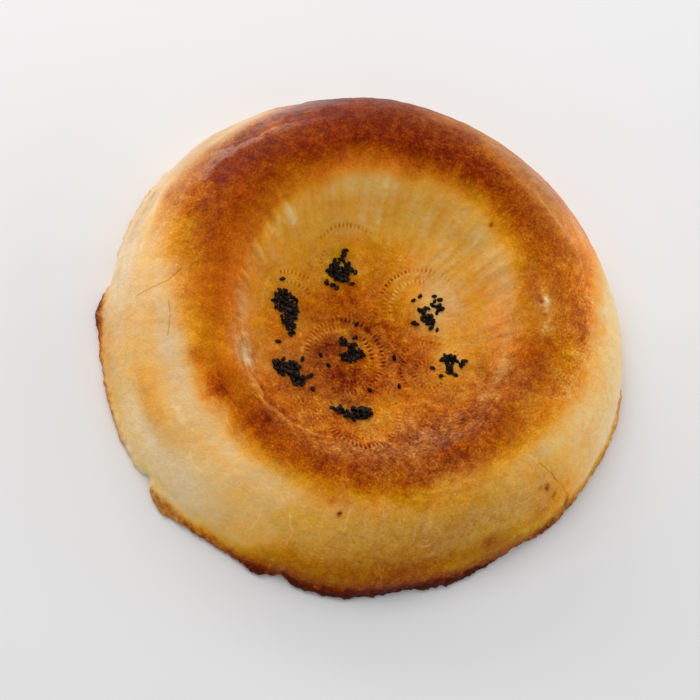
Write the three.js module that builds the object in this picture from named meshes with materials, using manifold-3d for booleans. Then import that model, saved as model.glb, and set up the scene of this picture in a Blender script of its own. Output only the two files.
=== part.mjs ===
// A round tandoor flatbread: a puffed ring of browned crust about a thin middle that was pressed
// with a prick stamp seven times, and a pinch of black seeds on each stamp. The bread and the
// seeds baked on to it are one piece. Millimetres, +Z up; azimuths are in degrees from +X
// towards +Y. The bread was higher on one side, as bread baked upright on an oven wall is.
import * as THREE from "three";
import { mergeVertices } from "three/addons/utils/BufferGeometryUtils.js";
import Module from "manifold-3d";

// The ring
const EDGE_RADIUS = 119;
const HIGH_SIDE = 100;
const CREST_RADIUS_HIGH = 76;
const CREST_RADIUS_LOW = 72;
const CREST_HIGH = 55;
const CREST_LOW = 28;
const CREST_UNEVEN = 1.1;
const EDGE_TUCK = 4; // how far the hidden edge on the high side stays in
const SWELLS = [ // where the whole wall stands out or in
  { azimuth: 25, spread: 30, reach: 4 },
  { azimuth: 160, spread: 14, reach: 2 },
  { azimuth: 240, spread: 14, reach: 2.2 },
  { azimuth: 284, spread: 14, reach: 1.8 },
  { azimuth: 322, spread: 16, reach: -2.2 },
];

// The thin edge where the dough was stuck to the oven, torn back in places
const LIP_WIDTH = 2.2;
const LIP_THICKNESS = 2.8;
const EDGE_BEVEL = 1.2;
const EDGE_NIBBLE = 0.4;
const EDGE_LOBES = [
  { azimuth: 193, spread: 3.5, reach: -4 },
  { azimuth: 203, spread: 3, reach: 1.6 },
  { azimuth: 241.5, spread: 1.8, reach: -2.8 },
  { azimuth: 248, spread: 5, reach: 3.6 },
  { azimuth: 270, spread: 3.5, reach: 1.6 },
  { azimuth: 276, spread: 2, reach: -2.4 },
  { azimuth: 289, spread: 5, reach: 1.2 },
  { azimuth: 303, spread: 3, reach: -1.2 },
  { azimuth: 329, spread: 5, reach: -1.2 },
];

// The pressed middle
const FLOOR_HEIGHT = 11;
const FLOOR_RISE_HIGH = 4;
const FLOOR_RISE_LOW = 7;
const FLOOR_RADIUS_HIGH = 37;
const FLOOR_RADIUS_LOW = 50;
const STAMP_RADIUS = 20;
const STAMP_DEPTH = 1.1;
const STAMPS = [
  { x: -4, y: -17.5 },
  { x: 19.5, y: 20 },
  { x: -22, y: 20.5 },
  { x: -37.5, y: -9 },
  { x: 39, y: -4 },
  { x: 13, y: -38 },
  { x: -23.5, y: -37 },
];

// Radial folds where the middle was drawn down from the ring
const FOLDS = 17;
const FOLD_DEPTH = 0.9;

// Shape of the section: how far each curve keeps its end's direction, as a share of its run
const WALL_STAND = 0.5;
const WALL_CROWN = 0.56;
const SHOULDER = 0.46;
const FOOT = 0.5;

// Facets
const EDGE_SEGMENTS = 86;
const WALL_ROWS = 8;
const SLOPE_ROWS = 8;
const FLOOR_ROWS = 7;

// Seeds, flattened drops, sunk a little into the crust
const SEED_LENGTH = 3;
const SEED_WIDTH = 1.75;
const SEED_THICKNESS = 1.25;
const SEED_SIDES = 4;
const SEED_RINGS = 3;
const SEED_SPACING = 1.55;
const SEED_TRIES = 10;
const SEED_SINK = 0.12;
const SEED_TILT = 16;
const RANDOM_SEED = 20261;

// Each pinch is an oval patch of seeds: its middle, half length, half width, turn and count
const PINCHES = [
  { x: -24.5, y: 27, long: 3.4, wide: 1.5, turn: 105, count: 6 },
  { x: -22.5, y: 21, long: 4.6, wide: 4, turn: 20, count: 18 },
  { x: -21.5, y: 16, long: 6.6, wide: 2.6, turn: 0, count: 18 },
  { x: -22, y: 11.5, long: 4.2, wide: 0.7, turn: 0, count: 3 },
  { x: -40, y: -7, long: 4.6, wide: 4, turn: 70, count: 18 },
  { x: -35, y: -9.5, long: 5.2, wide: 4.4, turn: -50, count: 18 },
  { x: -31.5, y: -15.5, long: 4.8, wide: 2.4, turn: -35, count: 13 },
  { x: -26, y: -35.2, long: 5, wide: 3.6, turn: -25, count: 18 },
  { x: -19.5, y: -38, long: 5.4, wide: 2.8, turn: -25, count: 17 },
  { x: -5.5, y: -11.5, long: 3.8, wide: 1.6, turn: -15, count: 8 },
  { x: 0, y: -14, long: 4.2, wide: 2.8, turn: -35, count: 12 },
  { x: -3, y: -18, long: 3, wide: 1.6, turn: 20, count: 6 },
  { x: 15.3, y: -38, long: 3.6, wide: 2.4, turn: 55, count: 12 },
  { x: 10.5, y: -41, long: 5.4, wide: 2.2, turn: 20, count: 14 },
  { x: 5, y: -43.5, long: 4.4, wide: 1.5, turn: 5, count: 9 },
  { x: 24, y: 24.5, long: 4, wide: 2.6, turn: 10, count: 10 },
  { x: 22.5, y: 16.5, long: 4.6, wide: 2.8, turn: 15, count: 12 },
  { x: 17.5, y: 18.5, long: 2.4, wide: 1.4, turn: 45, count: 3 },
  { x: 20, y: 20, long: 9, wide: 7.5, turn: 50, count: 8 },
  { x: 39.5, y: 3.5, long: 4.2, wide: 2, turn: 5, count: 10 },
  { x: 41, y: -2, long: 3, wide: 2.4, turn: -60, count: 7 },
  { x: 44.6, y: 3.5, long: 2.4, wide: 1.6, turn: 60, count: 5 },
  { x: 38.5, y: -3.5, long: 5.6, wide: 2.4, turn: 10, count: 3 },
];

// Single seeds that fell beside the pinches
const STRAYS = [
  { x: -44, y: 3.3 },
  { x: -33, y: -25 },
  { x: -20, y: -27 },
  { x: -13.5, y: -22 },
  { x: -8.5, y: -24.8 },
  { x: -13.6, y: -33.5 },
  { x: -10, y: -38.5 },
  { x: -5.4, y: -0.6 },
  { x: -3.2, y: -6.6 },
  { x: 16.4, y: -8 },
  { x: 23.6, y: -19 },
  { x: 12.6, y: -26.4 },
  { x: 14.6, y: 25.6 },
  { x: 12.9, y: 22.3 },
];

const CRUST_COLOUR = "#b9752b";

const radians = THREE.MathUtils.degToRad;
const lerp = THREE.MathUtils.lerp;

// One stream of seeded draws from 0 to 1
function drawFrom(seed) {
  let state = seed;
  return () => {
    state = (state * 1664525 + 1013904223) % 4294967296;
    return state / 4294967296;
  };
}

// 1 on the bread's high side, 0 on its low side
function highness(azimuth) {
  return 0.5 + 0.5 * Math.cos(radians(azimuth - HIGH_SIDE));
}

// Height of a bell-shaped bump at a turn away from its middle, both in degrees
function bump(turn, spread) {
  const away = THREE.MathUtils.euclideanModulo(turn + 180, 360) - 180;
  return Math.exp(-((away / spread) ** 2));
}

function sumOfBumps(bumps, azimuth) {
  return bumps.reduce((sum, one) => sum + one.reach * bump(azimuth - one.azimuth, one.spread), 0);
}

// Outer radius of the whole loaf, without the torn edge
function bodyRadius(azimuth) {
  return EDGE_RADIUS - EDGE_TUCK * highness(azimuth) ** 3 + sumOfBumps(SWELLS, azimuth);
}

function edgeRadius(azimuth) {
  const nibbles = Math.sin(radians(7 * azimuth + 40)) + Math.sin(radians(13 * azimuth));
  return bodyRadius(azimuth) + sumOfBumps(EDGE_LOBES, azimuth) + EDGE_NIBBLE * nibbles;
}

function crest(azimuth) {
  const radius = lerp(CREST_RADIUS_LOW, CREST_RADIUS_HIGH, highness(azimuth));
  const height = lerp(CREST_LOW, CREST_HIGH, highness(azimuth));
  const swell = Math.sin(radians(3 * azimuth + 20)) + 0.7 * Math.sin(radians(5 * azimuth + 75));
  const sway = Math.sin(radians(4 * azimuth + 130));
  return new THREE.Vector2(radius + CREST_UNEVEN * sway, height + CREST_UNEVEN * swell);
}

function floorEdge(azimuth) {
  const high = highness(azimuth);
  const radius = lerp(FLOOR_RADIUS_LOW, FLOOR_RADIUS_HIGH, high);
  return new THREE.Vector2(radius, FLOOR_HEIGHT + lerp(FLOOR_RISE_LOW, FLOOR_RISE_HIGH, high));
}

// Outer wall of the section, from the lip's top to the crest
function wallCurve(azimuth) {
  const top = crest(azimuth);
  const foot = new THREE.Vector2(bodyRadius(azimuth) - LIP_WIDTH, LIP_THICKNESS);
  const stand = new THREE.Vector2(foot.x, foot.y + WALL_STAND * (top.y - foot.y));
  const crown = new THREE.Vector2(top.x + WALL_CROWN * (foot.x - top.x), top.y);
  return new THREE.CubicBezierCurve(foot, stand, crown, top);
}

// Inner slope of the section, from the crest to the edge of the pressed middle
function slopeCurve(azimuth) {
  const top = crest(azimuth);
  const low = floorEdge(azimuth);
  const run = top.x - low.x;
  const shoulder = new THREE.Vector2(top.x - SHOULDER * run, top.y);
  const floorSlope = (2 * (low.y - FLOOR_HEIGHT)) / low.x;
  const foot = new THREE.Vector2(low.x + FOOT * run, low.y + FOOT * run * floorSlope);
  return new THREE.CubicBezierCurve(top, shoulder, foot, low);
}

// How deep the stamps press the dough at a point, 0 outside them
function stampDepth(x, y) {
  let deepest = 0;
  for (const stamp of STAMPS) {
    const away = Math.hypot(x - stamp.x, y - stamp.y) / STAMP_RADIUS;
    const press = 1 - THREE.MathUtils.smoothstep(away, 0.75, 1.05);
    deepest = Math.max(deepest, STAMP_DEPTH * press);
  }
  return deepest;
}

function foldHeight(azimuth, share) {
  const strength = Math.sin(Math.PI * share) ** 2;
  return FOLD_DEPTH * strength * Math.sin(radians(FOLDS * azimuth + 30 * Math.sin(radians(3 * azimuth))));
}

function spacePoint(azimuth, radius, height) {
  return new THREE.Vector3(radius * Math.cos(radians(azimuth)), radius * Math.sin(radians(azimuth)), height);
}

function wallPoint(azimuth, share) {
  const point = wallCurve(azimuth).getPoint(share);
  return spacePoint(azimuth, point.x, point.y);
}

function slopePoint(azimuth, share) {
  const flat = slopeCurve(azimuth).getPoint(share);
  const point = spacePoint(azimuth, flat.x, flat.y + foldHeight(azimuth, share));
  point.z -= stampDepth(point.x, point.y);
  return point;
}

// share is 1 at the edge of the pressed middle and 0 at its centre
function floorPoint(azimuth, share) {
  const low = floorEdge(azimuth);
  const point = spacePoint(azimuth, low.x * share, lerp(FLOOR_HEIGHT, low.y, share ** 2));
  point.z -= stampDepth(point.x, point.y);
  return point;
}

// One closed row of points about the bread, with fewer points on a smaller row
function makeRow(pointAt, size) {
  const segments = Math.max(6, Math.round(EDGE_SEGMENTS * size));
  const row = [];
  for (let i = 0; i < segments; i++) row.push(pointAt((360 * i) / segments));
  return row;
}

// The skin between two rows, whatever their numbers of points; the first row is the outer one
function joinRows(outer, inner, corners) {
  let i = 0;
  let j = 0;
  while (i < outer.length || j < inner.length) {
    const a = outer[i % outer.length];
    const b = inner[j % inner.length];
    const stepOuter = (i + 0.5) / outer.length <= (j + 0.5) / inner.length;
    if (stepOuter) {
      i += 1;
      corners.push(a, outer[i % outer.length], b);
    } else {
      j += 1;
      corners.push(b, a, inner[j % inner.length]);
    }
  }
}

// Fan from a row to one point on the axis; up is true on the top side
function closeRow(row, centre, corners, up) {
  for (let i = 0; i < row.length; i++) {
    const next = row[(i + 1) % row.length];
    if (up) corners.push(row[i], next, centre);
    else corners.push(next, row[i], centre);
  }
}

function breadRows() {
  const rows = [
    makeRow((azimuth) => spacePoint(azimuth, edgeRadius(azimuth) - EDGE_BEVEL, 0), 1),
    makeRow((azimuth) => spacePoint(azimuth, edgeRadius(azimuth), EDGE_BEVEL), 1),
  ];
  for (let i = 0; i <= WALL_ROWS; i++) {
    rows.push(makeRow((azimuth) => wallPoint(azimuth, i / WALL_ROWS), 1));
  }
  for (let i = 1; i <= SLOPE_ROWS; i++) {
    rows.push(makeRow((azimuth) => slopePoint(azimuth, i / SLOPE_ROWS), 1 - (0.45 * i) / SLOPE_ROWS));
  }
  for (let i = 1; i < FLOOR_ROWS; i++) {
    const share = 1 - i / FLOOR_ROWS;
    rows.push(makeRow((azimuth) => floorPoint(azimuth, share), 0.55 * share));
  }
  return rows;
}

function geometryOf(corners) {
  const positions = [];
  for (const point of corners) positions.push(point.x, point.y, point.z);
  const geometry = new THREE.BufferGeometry();
  geometry.setAttribute("position", new THREE.Float32BufferAttribute(positions, 3));
  return geometry;
}

function makeBread() {
  const rows = breadRows();
  const corners = [];
  closeRow(rows[0], new THREE.Vector3(0, 0, 0), corners, false);
  for (let i = 1; i < rows.length; i++) joinRows(rows[i - 1], rows[i], corners);
  closeRow(rows[rows.length - 1], floorPoint(0, 0), corners, true);
  return geometryOf(corners);
}

// Where the seeds lie, in plan. One that would lie on top of the others is left off.
function layOutSeeds() {
  const draw = drawFrom(RANDOM_SEED);
  const seeds = [];
  const crowded = (x, y) => seeds.some((seed) => Math.hypot(seed.x - x, seed.y - y) < SEED_SPACING);
  const place = (x, y) => {
    const seed = { x, y, turn: 360 * draw(), tilt: SEED_TILT * (2 * draw() - 1) };
    if (!crowded(x, y)) seeds.push(seed);
  };
  for (const stray of STRAYS) place(stray.x, stray.y);
  for (const pinch of PINCHES) {
    for (let i = 0; i < pinch.count; i++) {
      let x = 0;
      let y = 0;
      let tries = 0;
      do {
        const reach = Math.sqrt(draw());
        const around = 2 * Math.PI * draw();
        const along = pinch.long * reach * Math.cos(around);
        const across = pinch.wide * reach * Math.sin(around);
        const turn = radians(pinch.turn);
        x = pinch.x + along * Math.cos(turn) - across * Math.sin(turn);
        y = pinch.y + along * Math.sin(turn) + across * Math.cos(turn);
        tries += 1;
      } while (crowded(x, y) && tries < SEED_TRIES);
      place(x, y);
    }
  }
  return seeds;
}

// A seed lies flat on the crust below its middle
function makeSeed(seed, crust, ray) {
  ray.set(new THREE.Vector3(seed.x, seed.y, CREST_HIGH * 2), new THREE.Vector3(0, 0, -1));
  const hit = ray.intersectObject(crust)[0];
  const shape = new THREE.SphereGeometry(0.5, SEED_SIDES, SEED_RINGS);
  shape.rotateZ(Math.PI / 2);
  shape.scale(SEED_LENGTH, SEED_WIDTH, SEED_THICKNESS);
  shape.rotateY(radians(seed.tilt));
  shape.rotateZ(radians(seed.turn));
  const stand = new THREE.Quaternion().setFromUnitVectors(new THREE.Vector3(0, 0, 1), hit.face.normal);
  shape.applyQuaternion(stand);
  const lift = SEED_THICKNESS * (0.5 - SEED_SINK);
  const middle = hit.point.clone().addScaledVector(hit.face.normal, lift);
  shape.translate(middle.x, middle.y, middle.z);
  return shape;
}

const wasm = await Module();
wasm.setup();

function solidOf(geometry) {
  const bare = geometry.clone();
  bare.deleteAttribute("normal");
  bare.deleteAttribute("uv");
  const merged = mergeVertices(bare, 1e-5);
  const vertProperties = new Float32Array(merged.attributes.position.array);
  const triVerts = new Uint32Array(merged.index.array);
  return new wasm.Manifold(new wasm.Mesh({ numProp: 3, vertProperties, triVerts }));
}

// The largest body of a solid, without loose scraps and sealed bubbles
function mainBody(solid) {
  return solid.decompose().reduce((best, body) => (body.volume() > best.volume() ? body : best));
}

function geometryFromSolid(solid) {
  const mesh = solid.getMesh();
  const geometry = new THREE.BufferGeometry();
  geometry.setAttribute("position", new THREE.BufferAttribute(mesh.vertProperties, 3));
  geometry.setIndex(new THREE.BufferAttribute(mesh.triVerts, 1));
  return geometry;
}

function makeSeededBread() {
  const crustGeometry = makeBread();
  const crust = new THREE.Mesh(crustGeometry, new THREE.MeshStandardMaterial());
  const ray = new THREE.Raycaster();
  let solid = solidOf(crustGeometry);
  for (const seed of layOutSeeds()) solid = solid.add(solidOf(makeSeed(seed, crust, ray)));
  const geometry = geometryFromSolid(mainBody(solid));
  geometry.computeBoundingBox();
  const middle = geometry.boundingBox.getCenter(new THREE.Vector3());
  geometry.translate(-middle.x, -middle.y, -geometry.boundingBox.min.z);
  geometry.computeVertexNormals();
  return geometry;
}

const crustMaterial = new THREE.MeshStandardMaterial({ color: CRUST_COLOUR, roughness: 0.5, metalness: 0 });
const bread = new THREE.Mesh(makeSeededBread(), crustMaterial);
bread.name = "flatbread";

const flatbread = new THREE.Group();
flatbread.add(bread);

export default flatbread;
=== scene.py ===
import math

import bpy
import numpy as np
from mathutils import Matrix, Vector


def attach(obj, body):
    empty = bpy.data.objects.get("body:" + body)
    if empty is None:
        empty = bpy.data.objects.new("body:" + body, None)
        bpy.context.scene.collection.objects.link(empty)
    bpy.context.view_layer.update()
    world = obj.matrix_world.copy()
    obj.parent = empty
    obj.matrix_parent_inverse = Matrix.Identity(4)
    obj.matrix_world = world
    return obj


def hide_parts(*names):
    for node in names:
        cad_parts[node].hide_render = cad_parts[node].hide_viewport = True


MM = 0.001
BOX_MIDDLE = (1.477, -2.807)  # middle of the loaf's box from the middle of its base outline

# The ring
EDGE_RADIUS = 119.0
HIGH_SIDE = 100.0
CREST_RADIUS_HIGH = 76.0
CREST_RADIUS_LOW = 72.0
CREST_HIGH = 55.0
CREST_LOW = 28.0
EDGE_TUCK = 4.0
# how the crest sways in and out, and up and down: waves to a turn, phase, height
CREST_SWAY = [(4, 130, 1.1)]
CREST_SWELL = [(3, 20, 1.1), (5, 75, 0.77)]
# where the whole wall stands out or in: azimuth, spread, reach
SWELLS = [(25, 30, 4), (160, 14, 2), (240, 14, 2.2), (284, 14, 1.8), (322, 16, -2.2)]

# The thin edge where the dough was stuck to the oven, torn back in places
LIP_WIDTH = 2.2
LIP_THICKNESS = 2.8
EDGE_BEVEL = 1.2
LIP_TOP_BACK = 1.0  # how far the top of the lip lies inside its outermost edge
FLARE_STATION = 0.16  # up to where the wall flares out on to the lip
EDGE_LOBES = [
    (193, 3.5, -4), (203, 3, 1.6), (241.5, 1.8, -2.8), (248, 5, 3.6), (270, 3.5, 1.6),
    (276, 2, -2.4), (289, 5, 1.2), (303, 3, -1.2), (329, 5, -1.2),
]
EDGE_NIBBLES = [(7, 40, 0.4), (13, 0, 0.4)]
CRUMBLY = [(300, 36, 1.0)]  # where the edge is crumbly: azimuth, spread, amount

# The pressed middle
FLOOR_HEIGHT = 11.0
FLOOR_RISE_HIGH = 4.0
FLOOR_RISE_LOW = 7.0
FLOOR_RADIUS_HIGH = 37.0
FLOOR_RADIUS_LOW = 50.0
STAMP_RADIUS = 20.0
STAMP_DEPTH = 1.1
STAMP_SIDE = (0.75, 1.05)  # where the stamp's side rises, as shares of its radius
STAMPS = [(-4, -17.5), (19.5, 20), (-22, 20.5), (-37.5, -9), (39, -4), (13, -38), (-23.5, -37)]

# Radial folds where the middle was drawn down from the ring
FOLDS = 17
FOLD_DEPTH = 0.9
FOLD_SWAY = [(3, 0, 30)]

# How far each curve of the section keeps its end's direction, as a share of its run
WALL_STAND = 0.5
WALL_CROWN = 0.56
SHOULDER = 0.46
FOOT = 0.5

# Stations along a section, from the middle of the underside to the centre of the pressed middle
BASE_MIDDLE = -2
BASE_RIM = -1
OUTERMOST = -0.5
LIP_TOP = 0
CREST = 1
FLOOR_EDGE = 2
CENTRE = 3


def highness(azimuth):
    """1 on the loaf's high side, 0 on its low side"""
    return 0.5 + 0.5 * np.cos(np.radians(azimuth - HIGH_SIDE))


def turn_between(a, b):
    """How far two azimuths lie apart, from -180 to 180"""
    return (a - b + 180) % 360 - 180


def bell(away, spread):
    return np.exp(-((away / spread) ** 2))


def smooth_step(value, low, high):
    share = np.clip((value - low) / (high - low), 0, 1)
    return share * share * (3 - 2 * share)


def sum_of_bumps(bumps, azimuth):
    return sum(reach * bell(turn_between(azimuth, at), spread) for at, spread, reach in bumps)


def waves(table, azimuth):
    return sum(height * np.sin(np.radians(count * azimuth + phase)) for count, phase, height in table)


def patches(table, azimuth, station):
    """Sum of soft patches: azimuth, spread, station, spread, amount"""
    return sum(
        amount * bell(turn_between(azimuth, at), spread) * bell(station - level, reach)
        for at, spread, level, reach, amount in table
    )


def around(knots, azimuth):
    """A value that changes smoothly round the loaf between its given azimuths"""
    sectors = sorted(knots)
    total = np.zeros(len(azimuth))
    for number, here in enumerate(sectors):
        before = sectors[number - 1]
        after = sectors[(number + 1) % len(sectors)]
        away = turn_between(azimuth, here)
        rise = smooth_step(away, turn_between(before, here), 0)
        fall = 1 - smooth_step(away, 0, turn_between(after, here))
        total += knots[here] * np.where(away < 0, rise, fall)
    return total


def body_radius(azimuth):
    """Radius of the loaf's foot without the torn edge"""
    return EDGE_RADIUS - EDGE_TUCK * highness(azimuth) ** 3 + sum_of_bumps(SWELLS, azimuth)


def edge_radius(azimuth):
    return body_radius(azimuth) + sum_of_bumps(EDGE_LOBES, azimuth) + waves(EDGE_NIBBLES, azimuth)


def crest(azimuth):
    """Radius and height of the ring's crest"""
    high = highness(azimuth)
    radius = CREST_RADIUS_LOW + (CREST_RADIUS_HIGH - CREST_RADIUS_LOW) * high
    height = CREST_LOW + (CREST_HIGH - CREST_LOW) * high
    return radius + waves(CREST_SWAY, azimuth), height + waves(CREST_SWELL, azimuth)


def floor_edge(azimuth):
    """Radius and height of the rim of the pressed middle"""
    high = highness(azimuth)
    radius = FLOOR_RADIUS_LOW + (FLOOR_RADIUS_HIGH - FLOOR_RADIUS_LOW) * high
    return radius, FLOOR_HEIGHT + FLOOR_RISE_LOW + (FLOOR_RISE_HIGH - FLOOR_RISE_LOW) * high


def bezier(ends, share):
    """A cubic curve's value: its two ends and the two holds between them"""
    a, b, c, d = ends
    rest = 1 - share
    return a * rest**3 + 3 * b * share * rest**2 + 3 * c * share**2 * rest + d * share**3


def section(azimuth, station):
    """Radius and height of the loaf's section, without its fine relief"""
    top_radius, top_height = crest(azimuth)
    low_radius, low_height = floor_edge(azimuth)
    foot_radius = body_radius(azimuth) - LIP_WIDTH
    share = np.clip(station, 0, 1)
    crown = top_radius + WALL_CROWN * (foot_radius - top_radius)
    wall_radius = bezier((foot_radius, foot_radius, crown, top_radius), share)
    stand = LIP_THICKNESS + WALL_STAND * (top_height - LIP_THICKNESS)
    wall_height = bezier((LIP_THICKNESS, stand, top_height, top_height), share)
    share = np.clip(station - CREST, 0, 1)
    run = top_radius - low_radius
    floor_slope = 2 * (low_height - FLOOR_HEIGHT) / low_radius
    ends = (top_radius, top_radius - SHOULDER * run, low_radius + FOOT * run, low_radius)
    slope_radius = bezier(ends, share)
    foot_height = low_height + FOOT * run * floor_slope
    slope_height = bezier((top_height, top_height, foot_height, low_height), share)
    folds = np.sin(np.radians(FOLDS * azimuth + waves(FOLD_SWAY, azimuth)))
    slope_height = slope_height + FOLD_DEPTH * np.sin(np.pi * share) ** 2 * folds
    share = 1 - np.clip(station - FLOOR_EDGE, 0, 1)
    floor_radius = low_radius * share
    floor_height = FLOOR_HEIGHT + (low_height - FLOOR_HEIGHT) * share**2
    on_wall = station <= CREST
    on_slope = station <= FLOOR_EDGE
    radius = np.where(on_wall, wall_radius, np.where(on_slope, slope_radius, floor_radius))
    height = np.where(on_wall, wall_height, np.where(on_slope, slope_height, floor_height))
    return radius, height


# Random swellings

RANDOM_SEED = 20261
LUMP_SHIFT = 17.31  # takes the field of each seed to its own place
LUMP_GAIN = 1.5  # brings the field's peaks to about 1
SHUFFLE = np.random.default_rng(RANDOM_SEED).permutation(256)
SLOPES = np.random.default_rng(RANDOM_SEED + 1).normal(size=(256, 3))
SLOPES /= np.linalg.norm(SLOPES, axis=1, keepdims=True)


def lumps(points, size, seed):
    """A smooth random field from about -1 to 1 over points, with lumps about size across"""
    cell = points / size + LUMP_SHIFT * seed
    low = np.floor(cell).astype(np.int64)
    part = cell - low
    ease = part**3 * (part * (part * 6 - 15) + 10)
    total = np.zeros(len(points))
    for corner in np.ndindex(2, 2, 2):
        key = (low + corner) & 255
        mixed = SHUFFLE[(SHUFFLE[(SHUFFLE[key[:, 0]] + key[:, 1]) & 255] + key[:, 2]) & 255]
        weight = np.prod(np.where(corner, ease, 1 - ease), axis=1)
        total += weight * np.sum(SLOPES[mixed] * (part - corner), axis=1)
    return LUMP_GAIN * total


# Height, size of the largest lumps in millimetres, seed, and how many sizes lie upon each other.
# Heights are millimetres for the relief and shares of the tone for the colours.
ROUGHNESS = {
    "swells": (0.8, 38, 3, 3),
    "dimples": (0.25, 10, 8, 3),
    "drawn dough": (0.5, 6.5, 14, 3),
    "middle": (0.3, 5, 21, 3),
    "near slope": (0.35, 3, 24, 3),
    "wall": (0.18, 4, 27, 3),
    "torn edge": (1, 3, 33, 4),
    "pores": (0.1, 1.8, 40, 2),
    "pleats": (1, 4.6, 17, 3),
    "ribs": (1, 4.4, 37, 2),
    "blisters": (1, 2.6, 80, 2),
    "pits": (1, 1.8, 90, 1),
    "creases": (0.6, 2.8, 44, 2),
    "ring wobble": (0.6, 9, 11, 1),
    "worn pricks": (0.8, 3.2, 12, 1),
    "wide waves": (0.035, 24, 50, 3),
    "narrow waves": (0.018, 8, 54, 3),
    "crumbs": (1, 2.4, 57, 2),
    "wide rosy": (0.25, 26, 60, 3),
    "narrow rosy": (0.16, 9, 61, 3),
    "wide bloom": (0.15, 20, 64, 3),
    "narrow bloom": (0.18, 7, 66, 3),
    "baked underside": (0.22, 18, 70, 3),
    "floury underside": (0.4, 12, 74, 3),
}


def rough(name, points):
    """Lumps upon lumps, each size half as large and half as high as the last"""
    height, size, seed, sizes = ROUGHNESS[name]
    total = np.zeros(len(points))
    for number in range(sizes):
        total += lumps(points, size / 2**number, seed + number) / 2**number
    return height * total


def unrolled(azimuth, station, radius, run):
    """Points on a drum with the sections laid out along it. Lumps read here are drawn out along
    the sections where the run of a station is short, and round the loaf where it is long."""
    x = radius * np.cos(np.radians(azimuth))
    y = radius * np.sin(np.radians(azimuth))
    return np.stack([x, y, run * station], axis=1)


# Zones of the skin, as stations: where each begins, is full, begins to fade and is gone
NEVER = (4, 5)
ZONES = {
    "edge": (-1.0, -0.6, 0.02, 0.12),
    "top": (-0.1, 0.15, *NEVER),
    "marked": (0, 0.05, *NEVER),
    "wall": (-0.1, 0.15, 0.75, 1.0),
    "slope": (1.05, 1.5, 2.1, 2.5),
    "pricked": (1.1, 1.4, *NEVER),
    "grainy slope": (1.15, 1.5, *NEVER),
    "floor": (1.6, 2.0, *NEVER),
    "above the wall": (0.72, 1.0, *NEVER),
}


def zone(name, station):
    start, full, fading, gone = ZONES[name]
    return smooth_step(station, start, full) * (1 - smooth_step(station, fading, gone))


# Marks of the prick stamp

PRICK_SPACING = 1.9
PRICK_WIDTH = 0.95
PRICK_WORN = (0.2, 1.3)  # least and most that a prick shows
PRICK_SHOWN = 0.9
ARC_FADE = 6.0

# Arcs of pricks that still show: middle and radius of the ring, from and to azimuth, length of a
# prick, how deep it is and how high the dough stands between the pricks, both as shares of a
# fresh stamp's
PRICK_ARCS = [
    (-4.5, -17, 17.6, 8, 136, 1.7, 1.0, 0.35), (-4.5, -17, 17.6, -70, 8, 1.7, 0.45, 0.5),
    (-4.5, -17, 12.8, 16, 76, 1.8, 1.0, 0.5), (-4.5, -17, 12.8, -60, 16, 1.7, 0.5, 0.4),
    (-6, -14, 17.5, 96, 124, 2.6, 0.2, 0.7),
    (-4.5, -17, 17.2, 118, 205, 2.8, 0.3, 1.25), (-4.5, -17, 14.0, 124, 190, 2.2, 0.2, 1.0),
    (17, 20, 18.4, 94, 184, 1.6, 0.85, 0.7), (17, 20, 18.4, 55, 94, 1.3, 0.35, 0.5),
    (17, 20, 13.4, 104, 222, 1.9, 0.35, 0.9), (17, 20, 16.4, 184, 232, 1.6, 0.35, 0.4),
    (-20, 22.5, 17.8, 88, 168, 1.3, 0.6, 0.3), (-20, 22.5, 13.7, 172, 204, 1.3, 0.4, 0.3),
    (-35.5, -8, 16.2, 84, 138, 1.5, 0.5, 0.8), (-35.5, -8, 11.4, 60, 130, 1.4, 0.35, 0.6),
    (33, -8, 16.1, 55, 128, 1.3, 0.45, 0.3), (33, -8, 15.2, 148, 182, 1.4, 0.6, 0.6),
    (33, -8, 12.3, 168, 236, 1.6, 0.8, 0.5), (33, -8, 6.6, -180, 180, 1.3, 0.5, 0.6),
    (13.5, -39.5, 17.9, 236, 326, 3.2, 0.9, 0.9), (13.5, -39.5, 16.6, -34, 52, 1.8, 0.2, 0.9),
    (13.5, -39.5, 12.6, 250, 320, 1.8, 0.35, 0.5),
    (-18, -31.5, 17.2, 238, 312, 1.5, 0.4, 0.7), (-22, -46, 2.0, -180, 180, 0.8, 0.5, 0.5),
    (-3.5, -50.5, 2.2, -180, 180, 0.8, 0.5, 0.4), (-18, -31.5, 22.5, 244, 296, 1.4, 0.25, 0.5),
]


def stamp_depth(x, y):
    """How deep the stamps press the dough at a point, 0 outside them"""
    deepest = np.zeros_like(x)
    for stamp_x, stamp_y in STAMPS:
        away = np.hypot(x - stamp_x, y - stamp_y) / STAMP_RADIUS
        deepest = np.maximum(deepest, STAMP_DEPTH * (1 - smooth_step(away, *STAMP_SIDE)))
    return deepest


def pricks(x, y, points):
    """How far each point is in a prick, and how far on the dough between pricks"""
    holes = np.zeros_like(x)
    rims = np.zeros_like(x)
    wobble = rough("ring wobble", points)
    uneven = np.clip(PRICK_SHOWN + rough("worn pricks", points), *PRICK_WORN)
    for middle_x, middle_y, ring, low, high, length, hole, rim in PRICK_ARCS:
        away = np.hypot(x - middle_x, y - middle_y) + wobble - ring
        azimuth = np.degrees(np.arctan2(y - middle_y, x - middle_x))
        past = np.abs(turn_between(azimuth, (low + high) / 2)) - (high - low) / 2
        count = round(2 * math.pi * ring / PRICK_SPACING)
        aside = np.radians(turn_between(azimuth * count, 0) / count) * ring
        shown = uneven * bell(away, length / 2) * (1 - smooth_step(past, -ARC_FADE, ARC_FADE))
        holes = np.maximum(holes, hole * shown * bell(aside, PRICK_WIDTH / 2))
        from_rim = np.abs(aside) - PRICK_SPACING / 2
        rims = np.maximum(rims, rim * shown * bell(from_rim, PRICK_WIDTH / 2))
    return holes, rims


# The crust's mesh

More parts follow.
